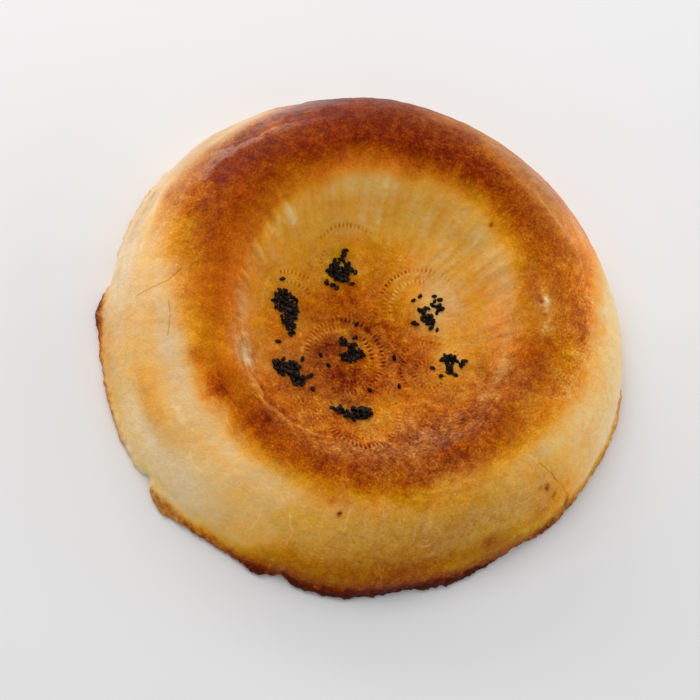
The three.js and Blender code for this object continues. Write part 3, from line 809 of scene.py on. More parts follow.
# Where the crust is pale and dull beside its warm colours: azimuth, spread, station, spread, amount.
# Partly a real dull bloom, partly painted sheen on the near slope about azimuth 300 to 330 and on the
# wall about azimuth 150
BLOOM_AND_SHEEN_PATCHES = [
    (10, 14, 0.18, 0.1, 0.6), (38, 8, 0.38, 0.1, 0.4), (40, 18, 1.42, 0.1, 0.25),
    (50, 7, 0.43, 0.08, -0.3), (50, 24, 2.02, 0.12, 0.35), (66, 14, 0.68, 0.14, 0.5),
    (67, 10, 1.47, 0.1, 0.25), (70, 14, 0.7, 0.12, 0.35), (75, 24, 1.22, 0.12, -0.3),
    (88, 8, 0.84, 0.07, -0.3), (92, 20, 0.7, 0.14, 0.6), (95, 45, 0.05, 0.2, 0.7),
    (100, 28, 0.5, 0.12, 0.6), (110, 40, 0.9, 0.16, -0.3), (114, 14, 1.46, 0.1, -0.25),
    (123, 18, 1.43, 0.1, -0.5), (125, 62, 1.38, 0.16, -0.3), (145, 14, 0.86, 0.08, -0.3),
    (148, 8, 0.5, 0.1, 0.4), (157, 20, 0.3, 0.22, 1.3), (157, 9, 0.65, 0.08, 0.5),
    (158, 8, 0.52, 0.08, 0.3), (160, 9, 0.86, 0.08, -0.25), (160, 10, 0.88, 0.12, -0.4),
    (160, 36, 1.06, 0.2, -0.2), (165, 25, 0.0, 0.1, 1.0), (179, 9, 0.23, 0.1, 0.3),
    (182, 8, 0.29, 0.08, 0.3), (184, 16, 0.8, 0.12, -0.5), (188, 12, 0.46, 0.1, -0.3),
    (194, 9, 0.79, 0.08, 0.3), (196, 16, 0.32, 0.36, 0.9), (205, 14, 1.5, 0.14, 0.3),
    (212, 8, 0.68, 0.08, 0.3), (218, 8, 0.78, 0.08, 0.2), (220, 18, 0.7, 0.08, 0.4),
    (222, 14, 0.2, 0.12, 0.3), (222, 8, 0.48, 0.08, 0.12), (225, 18, 0.4, 0.4, 0.2),
    (225, 40, 1.0, 0.14, -0.3), (226, 14, 1.4, 0.24, 0.7), (228, 9, 0.47, 0.08, -0.35),
    (228, 8, 0.72, 0.08, 0.15), (232, 20, 0.0, 0.06, 0.4), (237, 12, 0.37, 0.1, 0.3),
    (243, 9, 0.83, 0.08, 0.1), (245, 24, 2.3, 0.36, 0.28), (250, 14, 0.03, 0.06, -0.25),
    (250, 18, 0.3, 0.4, 0.45), (250, 50, 0.94, 0.1, -0.14), (268, 24, 0.72, 0.1, 0.3),
    (270, 16, 0.1, 0.1, -0.3), (275, 16, 0.24, 0.08, -0.15), (296, 10, 0.86, 0.08, -0.3),
    (300, 14, 0.15, 0.1, -0.5), (300, 14, 0.18, 0.1, -0.2), (300, 30, 0.55, 0.2, 0.24),
    (304, 30, 1.36, 0.32, 0.8), (305, 50, -0.02, 0.04, 0.7), (306, 26, 0.0, 0.05, 0.3),
    (312, 26, 0.16, 0.16, -0.3), (317, 12, 0.53, 0.08, 0.12), (320, 22, 0.48, 0.2, 0.25),
    (320, 24, 1.7, 0.16, 0.35), (321, 10, 1.09, 0.1, -0.4), (343, 8, 0.72, 0.08, 0.3),
    (348, 9, 0.83, 0.08, -0.4), (355, 28, 1.5, 0.16, 0.55),
]
BLOOM_LEVEL = 0.12
ROSY_LEVEL = 0.5

# Where the crust was brushed wet and shines: azimuth, spread, station, spread, amount
GLAZE_PATCHES = [
    (148, 20, 0.67, 0.13, 0.7), (62, 22, 0.66, 0.18, 0.4), (325, 24, 1.5, 0.3, 0.15),
    (40, 22, 0.55, 0.2, 0.15),
]
GLAZE_LEVEL = 0.04
GLAZE_GAP = (1.05, 0.16, 0.85)  # station, spread and share that is missing just inside the crest

# Where dry flour clings to the wall, and where the pale flour colour is painted sheen on the wall
# about azimuth 145 to 160: azimuth, spread, station, spread, amount
FLOUR_AND_SHEEN_PATCHES = [
    (160, 16, 0.3, 0.2, 0.8), (145, 17, 0.5, 0.1, 0.35), (186, 16, 0.25, 0.2, 0.45),
]

# Patches of the middle and of the slope round it: plan, radius, more baked, rosier and duller
PLAN_PATCHES = [
    (22, 22, 10, -0.08, 0.1, 0.2), (38, 3, 7, -0.15, -0.1, 0.0), (6, -11, 8, -0.16, 0.0, -0.2),
    (-14.5, -15.5, 6, 0.16, 0.0, 0.0), (-1.5, -28.5, 6, 0.18, 0.1, 0.0),
    (-9, -21.5, 3.5, -0.06, 0.0, 0.0), (25, -33, 8, -0.1, -0.3, 0.0),
    (-20, -29, 7, -0.06, -0.25, 0.0), (-45, -45, 9, -0.12, 0.4, 0.2),
    (-53, -22, 6, -0.06, 0.5, 0.2), (-56, 20, 7, -0.08, -0.2, 0.0), (-42, 3, 8, -0.1, -0.3, 0.0),
    (-42, 24, 12, 0.0, -0.25, -0.1), (-14, 6, 11, 0.08, 0.05, -0.1), (8, 8, 8, 0.06, 0.0, -0.1),
    (-10, 42, 22, 0.0, 0.0, -0.2), (50, -28, 9, 0.0, -0.25, 0.0), (8, -39, 6, 0.0, -0.4, 0.3),
    (-31, -12, 6, -0.04, -0.35, 0.15), (-24, -37, 5, -0.03, -0.1, 0.1),
    (14, -45, 5, -0.08, -0.2, 0.15), (-3, -10, 4, -0.05, -0.2, 0.2),
    (-13, 22, 7, -0.04, -0.3, 0.15), (3, -41, 6, -0.06, -0.3, 0.0), (26, -17, 7, -0.09, -0.2, 0.0),
    (-21, -59, 6, 0.06, 0.0, 0.25), (24, 16, 6, -0.05, 0.0, 0.15), (13, -12, 5, -0.08, -0.1, 0.0),
    (-4, -21, 5, -0.07, 0.0, -0.1), (34, -38, 7, 0.06, 0.0, 0.3), (26.5, 7, 5, 0.08, 0.3, -0.1),
    (64, 32, 4.5, -0.05, 0.0, 0.5), (69, 23, 3.5, -0.05, 0.0, 0.4), (-25, 23, 7, 0.07, -0.6, 0.0),
    (-17, -38, 6, 0.07, -0.4, 0.0), (-1, 52, 6, -0.05, -0.2, 0.0), (23, 45, 6, -0.03, 0.0, -0.2),
]


def baked(azimuth, station):
    """Browning along each section: foot, wall, the band over the crest, slope and floor"""
    wall = around(WALL_LEVEL, azimuth)
    foot = around(FOOT_LEVEL, azimuth)
    level = wall + (foot - wall) * (1 - smooth_step(station / around(FOOT_REACH, azimuth), 0, 1))
    steps = (
        (around(BAND_START, azimuth), around(BAND_FULL, azimuth), around(BAND_LEVEL, azimuth)),
        (around(BAND_END, azimuth), around(SLOPE_START, azimuth), around(SLOPE_LEVEL, azimuth)),
        (*FLOOR_EDGE_SPAN, around(FLOOR_EDGE_LEVEL, azimuth)),
        (FLOOR_EDGE_SPAN[1], FLOOR_FULL, around(FLOOR_LEVEL, azimuth)),
        (FLOOR_FULL, CENTRE, MIDDLE_LEVEL),
    )
    for start, full, value in steps:
        level = level + (value - level) * smooth_step((station - start) / (full - start), 0, 1)
    return level


PLAN_DARKER, PLAN_ROSIER, PLAN_DULLER = 3, 4, 5  # the columns of the table of plan patches


def plan_patches(points, column):
    """Sum of the soft round patches in plan, for one column of amounts"""
    return sum(
        row[column] * bell(np.hypot(points[:, 0] - row[0], points[:, 1] - row[1]), row[2])
        for row in PLAN_PATCHES
    )


def skin_tones(azimuth, station, points, marks):
    """The attributes that the crust's material reads, each a value for every point"""
    held = np.maximum(station, LIP_TOP)
    crumbly = sum_of_bumps(CRUMBLY, azimuth)
    beyond = np.hypot(points[:, 0], points[:, 1]) - body_radius(azimuth)
    on_lip = smooth_step(beyond, LIP_TONE[0] - LIP_TONE_CRUMBLY * crumbly, LIP_TONE[1])
    mottled = 1 + (LIP_MOTTLE + LIP_MOTTLE_CRUMBLY * crumbly) * rough("crumbs", points)

    wave = rough("wide waves", points) + rough("narrow waves", points)
    browning = baked(azimuth, station + wave) + patches(BAKED_PATCHES, azimuth, held)
    browning += around(LIP_LEVEL, azimuth) * mottled * on_lip
    # marks: painted shade in their hollows and painted highlight on their ridges, besides real stains
    browning += plan_patches(points, PLAN_DARKER) + effect(marks, DARKER)

    # rosy cast: real colour, and partly painted pinkish sheen on the inner slopes
    rosy = ROSY_LEVEL + patches(ROSY_PATCHES, azimuth, held) + plan_patches(points, PLAN_ROSIER)
    rosy += rough("wide rosy", points) + rough("narrow rosy", points) + effect(marks, ROSIER)

    # pale, dull cast: real bloom, and painted sheen on the near slope and on the wall about azimuth
    # 150
    bloom_and_sheen = BLOOM_LEVEL + patches(BLOOM_AND_SHEEN_PATCHES, azimuth, held) + plan_patches(points, PLAN_DULLER)
    bloom_and_sheen += rough("wide bloom", points) + rough("narrow bloom", points) + effect(marks, DULLER)

    gap, gap_spread, missing = GLAZE_GAP
    glaze = GLAZE_LEVEL + patches(GLAZE_PATCHES, azimuth, station)
    glaze *= 1 - missing * bell(station - gap, gap_spread)
    # pale flour colour: real flour, and painted sheen on the wall about azimuth 150
    flour_and_sheen = patches(FLOUR_AND_SHEEN_PATCHES, azimuth, station)

    wall = around(WALL_GRAININESS, azimuth)
    graininess = wall + (around(GRAININESS, azimuth) - wall) * zone("above the wall", station)
    graininess *= 1 + SLOPE_GRAINIER * zone("grainy slope", station)
    graininess += CRUMBS_GRAINIER * on_lip * crumbly

    under = station < BASE_RIM
    browning = np.where(under, UNDER_BROWNING + rough("baked underside", points), browning)
    flour_and_sheen = np.where(under, UNDER_FLOUR + rough("floury underside", points), flour_and_sheen)
    side, crack = hair_cracks(points[:, 0], points[:, 1])
    return {
        "browning": browning,
        "rosy": np.clip(rosy, 0, 1),
        "bloom_and_sheen": np.clip(bloom_and_sheen, 0, 1),
        "glaze": np.clip(glaze, 0, 1),
        "flour_and_sheen": np.clip(flour_and_sheen, 0, 1),
        "graininess": graininess,
        "crack_side": side,
        "crack_tone": crack * zone("marked", station),
    }


LEAST_NORMAL = 1e-12  # so that a point without faces has a normal of length 0


def vertex_normals(points, triangles):
    """Normals of the points, each the mean of its faces' normals by area"""
    corners = points[triangles]
    faces = np.cross(corners[:, 1] - corners[:, 0], corners[:, 2] - corners[:, 0])
    normals = np.zeros_like(points)
    for corner in range(3):
        np.add.at(normals, triangles[:, corner], faces)
    length = np.linalg.norm(normals, axis=1, keepdims=True)
    return normals / np.maximum(length, LEAST_NORMAL)


def plan_skin():
    """Azimuths and stations of the skin's points, in rows from the underside to the middle"""
    rows = []
    edge_length = 2 * math.pi * EDGE_RADIUS
    for share in BASE_ROWS[::-1]:
        rows.append((row_azimuths(edge_length * share, BASE_PER_MM), share + BASE_MIDDLE))
    for station in EDGE_ROWS:
        rows.append((row_azimuths(edge_length, EDGE_PER_MM), station))
    quarters = np.arange(4) * 90.0
    for low, high, count, per_mm in TOP_ROWS:
        for number in range(count):
            station = low + (high - low) * number / count
            radius, _height = section(quarters, np.full(len(quarters), station))
            rows.append((row_azimuths(2 * math.pi * radius.mean(), per_mm), station))
    azimuth = np.concatenate([row for row, _station in rows])
    station = np.concatenate([np.full(len(row), level) for row, level in rows])
    return azimuth, station, stitch([row for row, _station in rows]), rows


def close_ends(azimuth, station, triangles, rows):
    """One point in the middle of the underside and one in the middle of the top, fanned out"""
    total = len(azimuth)
    azimuth = np.append(azimuth, [0.0, 0.0])
    station = np.append(station, [BASE_MIDDLE, CENTRE])
    first = len(rows[0][0])
    last = len(rows[-1][0])
    for i in range(first):
        triangles.append((total, (i + 1) % first, i))
    start = total - last
    for i in range(last):
        triangles.append((start + i, start + (i + 1) % last, total + 1))
    return azimuth, station, triangles


def to_part(points):
    """From the drawing's millimetres to the part's metres"""
    return (points - np.array([*BOX_MIDDLE, 0])) * MM


def new_mesh_object(name, points, faces, material):
    mesh = bpy.data.meshes.new(name)
    mesh.from_pydata(points.tolist(), [], [tuple(int(i) for i in face) for face in faces])
    mesh.update()
    mesh.shade_smooth()
    mesh.materials.append(material)
    piece = bpy.data.objects.new(name, mesh)
    bpy.context.scene.collection.objects.link(piece)
    return piece


def make_crust(material):
    azimuth, station, triangles, rows = plan_skin()
    azimuth, station, triangles = close_ends(azimuth, station, triangles, rows)
    triangles = np.array(triangles)
    smooth = skin_point(azimuth, station)
    marks = small_marks(azimuth, station, smooth)
    normals = vertex_normals(smooth, triangles)
    points = smooth + normals * relief(azimuth, station, smooth, marks)[:, None]
    points[:, 2] -= stamp_depth(smooth[:, 0], smooth[:, 1]) * zone("pricked", station)
    points[:, 2] = np.maximum(points[:, 2], 0)
    piece = new_mesh_object("crust", to_part(points), triangles, material)
    for name, values in skin_tones(azimuth, station, smooth, marks).items():
        layer = piece.data.attributes.new(name, "FLOAT", "POINT")
        layer.data.foreach_set("value", values.astype(np.float32))
    return piece


# Nodes


def set_input(modifier, tree, name, value):
    """Sets the modifier's input that has this name in the tree"""
    for item in tree.interface.items_tree:
        if item.item_type == "SOCKET" and item.in_out == "INPUT" and item.name == name:
            modifier[item.identifier] = value


def add_node(tree, kind, settings=None, links=None):
    """Adds a node, sets its properties and inputs, and links inputs given as sockets"""
    node = tree.nodes.new(kind)
    for name, value in (settings or {}).items():
        setattr(node, name, value)
    for name, value in (links or {}).items():
        socket = node.inputs[name]
        if isinstance(value, bpy.types.NodeSocket):
            tree.links.new(value, socket)
        else:
            socket.default_value = value
    return node


# Seeds, in millimetres and degrees

SEED_LENGTH = 2.9
SEED_WIDTH = 1.85
SEED_THICKNESS = 1.45
SEED_SIDES = 5
SEED_COLLARS = [(-0.42, 0.62), (-0.1, 1.0), (0.22, 0.84)]  # place along the seed, share of its width
SEED_TWIST = 0.3
SEED_SIZE_SPREAD = 0.1
SEED_SIZE_CHANCE = 7  # fixes the draw of each seed's size
SEED_SPACING = 1.5
SEED_TRIES = 30
SEED_SINK = 0.12  # how far a seed is pressed in, as a share of its thickness
SEED_PILE = 0.72  # how much higher a seed lies on top of others, as a share of its thickness
SEED_TILT = 14.0
SEED_LEVELLING = 1.5  # how strongly seeds keep level where the crust slopes
SEED_DROP = 3 * CREST_HIGH  # the height from which each seed's place on the crust is looked for

# Each pinch is an oval patch of seeds: its middle, half length, half width, turn and count
PINCHES = [
    (-25, 27.4, 2.1, 0.8, 100, 4), (-23.3, 22, 4.4, 2.8, 10, 15), (-23.3, 17.4, 5.4, 3, 0, 24),
    (-26.9, 11.3, 0.8, 0.4, 0, 2), (-22.3, 11.5, 1.6, 0.5, 0, 3), (-18, 22.6, 1.6, 0.4, -20, 2),
    (23.6, 24.4, 3.4, 0.7, 3, 6), (18.6, 19.9, 2.8, 0.9, 32, 6), (22.6, 17, 3.2, 2.1, -15, 11),
    (17.8, 13, 1.2, 0.7, -10, 3), (24.8, 22.2, 0.6, 1.2, 0, 2),
    (38.2, 1.9, 3.4, 2.5, 0, 15), (44.3, 2.6, 1.1, 1.6, 0, 4), (40.4, -3, 1.5, 1.8, 0, 6),
    (-40.3, -8.7, 3.9, 4.6, 0, 27), (-34.4, -10.3, 3, 4.8, 15, 21), (-38.5, -3.9, 5, 0.8, -10, 6),
    (-33.3, -16.4, 5, 2, -30, 15), (-30.3, -19.6, 0.8, 1.2, 0, 2),
    (-26.6, -36.6, 4.4, 4, 0, 23), (-22.6, -34.6, 3, 2.6, 30, 9), (-18.2, -39, 3.6, 2.7, -20, 15),
    (-14.1, -34.2, 0.4, 1, -20, 2), (-7, -11, 3.2, 1.3, -8, 9), (-0.6, -13.1, 3.8, 1.9, -5, 14),
    (-2.4, -9.6, 0.7, 1, 0, 2), (-2.6, -16.8, 3.4, 1.9, 15, 11),
    (5, -43.5, 4, 1.5, 5, 13), (12.6, -40.2, 5.4, 3, 38, 31),
]
STRAYS = [
    (-15.6, 16.6), (14.4, 25.5), (12.5, 22.4), (20.2, 28.2), (23.1, 27.8), (21.3, 25.9), (19.4, 16.2),
    (25.2, 13.5), (27.8, 13.9), (43.6, -3.8), (37.8, -6.8), (33.2, -4.5), (-44.5, 1.2), (-43.2, -3.9),
    (-10.6, -39.9), (-20.6, -28.8), (-33.3, -26.6), (-6, 0.1), (-3.9, -6.1), (-14.1, -22.2),
    (-9.1, -24.9), (15.9, -7.6), (23.1, -19.7), (12.1, -27.1),
]


DRAW_FACTOR = 1664525
DRAW_STEP = 1013904223
DRAW_RANGE = 2**32


def draws(seed):
    """One stream of seeded draws from 0 to 1"""
    state = seed
    while True:
        state = (state * DRAW_FACTOR + DRAW_STEP) % DRAW_RANGE
        yield state / DRAW_RANGE


def lay_out_seeds():
    """Plan places with turn, tilt and layer: 0 on the crust, 1 on top of other seeds"""
    stream = draws(RANDOM_SEED)
    seeds = []

    def crowded(x, y):
        lowest = [(sx, sy) for sx, sy, _turn, _tilt, layer in seeds if layer == 0]
        return any(math.hypot(sx - x, sy - y) < SEED_SPACING for sx, sy in lowest)

    def place(x, y):
        turn = 360 * next(stream)
        tilt = SEED_TILT * (2 * next(stream) - 1)
        seeds.append((x, y, turn, tilt, 1 if crowded(x, y) else 0))

    for x, y in STRAYS:
        place(x, y)
    for middle_x, middle_y, long, wide, turned, count in PINCHES:
        turn = math.radians(turned)
        for _number in range(count):
            for _try in range(SEED_TRIES):
                reach = math.sqrt(next(stream))
                bearing = 2 * math.pi * next(stream)
                along = long * reach * math.cos(bearing)
                across = wide * reach * math.sin(bearing)
                x = middle_x + along * math.cos(turn) - across * math.sin(turn)
                y = middle_y + along * math.sin(turn) + across * math.cos(turn)
                if not crowded(x, y):
                    break
            place(x, y)
    return seeds


def make_seed_shape():
    """One seed, an angular drop: flattish sides, a blunt end and a pointed end"""
    points = [(-SEED_LENGTH / 2, 0, 0)]
    for along, swell in SEED_COLLARS:
        for step in range(SEED_SIDES):
            turn = 2 * math.pi * (step + SEED_TWIST * along) / SEED_SIDES
            y = SEED_WIDTH / 2 * swell * math.cos(turn)
            z = SEED_THICKNESS / 2 * swell * math.sin(turn)
            points.append((SEED_LENGTH * along, y, z))
    points.append((SEED_LENGTH / 2, 0, 0))
    faces = []
    last = 1 + (len(SEED_COLLARS) - 1) * SEED_SIDES
    for step in range(SEED_SIDES):
        after = (step + 1) % SEED_SIDES
        faces.append((0, 1 + after, 1 + step))
        for low in range(1, last, SEED_SIDES):
            high = low + SEED_SIDES
            faces.append((low + step, low + after, high + after, high + step))
        faces.append((last + step, last + after, len(points) - 1))
    mesh = bpy.data.meshes.new("seed_shape")
    mesh.from_pydata([tuple(c * MM for c in point) for point in points], [], faces)
    mesh.update()
    return mesh


def seed_tree(shape, material):
    """Puts one seed on each point, turned by the point's own rotation and size"""
    tree = bpy.data.node_groups.new("pinches_of_seeds", "GeometryNodeTree")
    face = tree.interface
    face.new_socket("Points", in_out="INPUT", socket_type="NodeSocketGeometry")
    size = face.new_socket("Seed size", in_out="INPUT", socket_type="NodeSocketFloat")
    size.default_value = 1.0
    spread = face.new_socket("Size spread", in_out="INPUT", socket_type="NodeSocketFloat")
    spread.default_value = SEED_SIZE_SPREAD
    face.new_socket("Seeds", in_out="OUTPUT", socket_type="NodeSocketGeometry")
    given = add_node(tree, "NodeGroupInput")
    range_ends = {0: given.outputs["Seed size"], 1: given.outputs["Size spread"]}
    smallest = add_node(tree, "ShaderNodeMath", {"operation": "SUBTRACT"}, range_ends)
    largest = add_node(tree, "ShaderNodeMath", {"operation": "ADD"}, range_ends)
    chance = add_node(tree, "FunctionNodeRandomValue", {"data_type": "FLOAT"}, {
        2: smallest.outputs[0], 3: largest.outputs[0], "Seed": SEED_SIZE_CHANCE,
    })
    stand = add_node(tree, "GeometryNodeInputNamedAttribute", {"data_type": "FLOAT_VECTOR"}, {
        "Name": "stand",
    })
    one = add_node(tree, "GeometryNodeObjectInfo", {}, {"Object": shape})
    placed = add_node(tree, "GeometryNodeInstanceOnPoints", {}, {
        "Points": given.outputs["Points"],
        "Instance": one.outputs["Geometry"],
        "Rotation": stand.outputs["Attribute"],
        "Scale": chance.outputs[1],
    })
    real = add_node(tree, "GeometryNodeRealizeInstances", {}, {"Geometry": placed.outputs[0]})
    dressed = add_node(tree, "GeometryNodeSetMaterial", {}, {
        "Geometry": real.outputs[0], "Material": material,
    })
    add_node(tree, "NodeGroupOutput", {}, {"Seeds": dressed.outputs[0]})
    return tree


def seed_places(crust):
    """Where each seed lies on the crust, in metres, and how it is turned"""
    places = []
    turns = []
    down = Vector((0, 0, -1))
    up = Vector((0, 0, 1))
    for x, y, turn, tilt, layer in lay_out_seeds():
        start = to_part(np.array([[x, y, SEED_DROP]]))[0]
        _hit, point, normal, _face = crust.ray_cast(Vector(start), down)
        normal = (normal + SEED_LEVELLING * up).normalized()
        lift = SEED_THICKNESS * (0.5 - SEED_SINK + SEED_PILE * layer) * MM
        places.append(tuple(point + normal * lift))
        upright = up.rotation_difference(normal).to_matrix()
        turned = Matrix.Rotation(math.radians(turn), 3, "Z")
        tilted = Matrix.Rotation(math.radians(tilt), 3, "Y")
        turns.append(tuple((upright @ turned @ tilted).to_euler()))
    return places, turns


def make_seeds(crust, material):
    """The seeds, each lying on the crust below it"""
    shape = bpy.data.objects.new("seed_shape", make_seed_shape())
    places, turns = seed_places(crust)
    mesh = bpy.data.meshes.new("seed_places")
    mesh.from_pydata(places, [], [])
    layer = mesh.attributes.new("stand", "FLOAT_VECTOR", "POINT")
    layer.data.foreach_set("vector", np.array(turns).ravel())
    points = bpy.data.objects.new("seed_places", mesh)
    bpy.context.scene.collection.objects.link(points)
    tree = seed_tree(shape, material)
    modifier = points.modifiers.new("seeds", "NODES")
    modifier.node_group = tree
    set_input(modifier, tree, "Seed size", 1.0)
    set_input(modifier, tree, "Size spread", SEED_SIZE_SPREAD)
    evaluated = points.evaluated_get(bpy.context.evaluated_depsgraph_get())
    plain = bpy.data.meshes.new_from_object(evaluated)
    points.modifiers.remove(modifier)
    plain.name = "seeds"
    plain.shade_flat()
    piece = bpy.data.objects.new("seeds", plain)
    bpy.context.scene.collection.objects.link(piece)
    for spare in (points, shape):
        bpy.data.objects.remove(spare)
    return piece


# Materials


def linear(hex_colour):
    """An sRGB hex colour as linear values"""
    parts = [int(hex_colour[i:i + 2], 16) / 255 for i in (1, 3, 5)]
    return [c / 12.92 if c <= 0.04045 else ((c + 0.055) / 1.055) ** 2.4 for c in parts] + [1.0]


def new_material(name):
    material = bpy.data.materials.new(name)
    material.use_nodes = True
    material.node_tree.nodes.clear()
    return material, material.node_tree


def add_ramp(tree, value, stops):
    """Colours along a value: stops are (position, hex colour)"""
    ramp = add_node(tree, "ShaderNodeValToRGB", {}, {"Fac": value})
    elements = ramp.color_ramp.elements
    elements[0].position, elements[1].position = stops[0][0], stops[-1][0]
    for position, _colour in stops[1:-1]:
        elements.new(position)
    for element, (_position, colour) in zip(elements, stops):
        element.color = linear(colour)
    return ramp.outputs["Color"]


# Baked wheat crust, from raw cream through gold to dark brown, in three casts
GOLDEN = [(0, "#ffe48f"), (0.14, "#fac54b"), (0.28, "#e4a714"), (0.42, "#c68e00"), (0.5, "#bd7b00"),
          (0.64, "#ac5a00"), (0.78, "#914100"), (0.9, "#7a2b00"), (1, "#671800")]
ROSY = [(0, "#ffdb96"), (0.14, "#ffbb54"), (0.28, "#fc9b2c"), (0.42, "#e47c1a"), (0.5, "#d56c10"),
        (0.64, "#b75206"), (0.78, "#9a3806"), (0.9, "#822106"), (1, "#6c0e05")]
DULL = [(0, "#fae6c6"), (0.14, "#e6c89d"), (0.28, "#d3ab75"), (0.42, "#c28d4e"), (0.5, "#b87c3e"),
        (0.64, "#a2602d"), (0.78, "#87471f"), (0.9, "#68321a"), (1, "#3f2014")]
# pale flour colour, also used as painted sheen
FLOUR_AND_SHEEN_COLOUR = "#eee6d2"

# Noises of the crust: size in millimetres, detail, roughness
NOISES = {
    "grain": (1.0, 3.0, 0.7),
    "mottle": (3.6, 3.0, 0.5),
    "cloud": (15.0, 3.0, 0.5),
    "wander": (3.5, 4.0, 0.5),
}
GRAIN_SHARES = {"grain": 0.55, "mottle": 0.34, "cloud": 0.28}  # how much each swings the browning

# Light flecks, one to a cell: size of a cell, edge and full middle of a fleck as shares of it,
# from which of the cells' random values they show, and how much lighter the lightest is
FLECK_MM = 2.3
FLECK_EDGE = 0.34
FLECK_MIDDLE = 0.12
FLECK_RARITY = 0.72
FLECK_LIGHT = 0.13

# Grain on the pale and on the browned crust, and the browning that counts as pale and browned
PALE_GRAIN = 0.26
BROWN_GRAIN = 1.5
PALE_LEVEL = 0.15
BROWN_LEVEL = 0.7

# Hair cracks in millimetres: how far dark and pale ones wander, and half widths with soft sides
DARK_WANDER = 1.0
PALE_WANDER = 3.6
CRACK_TONE = 0.1  # the tone from which a crack counts as fully dark or pale
HAIR_SIDE = 0.45
HAIR_CORE = 0.15

# Sheen: roughness of pale and browned skin, and the browning at which each is reached
PALE_ROUGHNESS = 0.7
BROWN_ROUGHNESS = 0.45
MATT_LEVEL = 0.3
SATIN_LEVEL = 0.8
SKIN_BUMP_MM = 0.5
SKIN_BUMP_STRENGTH = 0.65
MOTTLE_BUMP = 1.5  # how much higher mottles stand than grains
CRUMB_DEPTH_MM = 3.0  # how deep light goes into the crust

TONES = ("browning", "rosy", "bloom_and_sheen", "glaze", "flour_and_sheen", "graininess", "crack_side", "crack_tone")


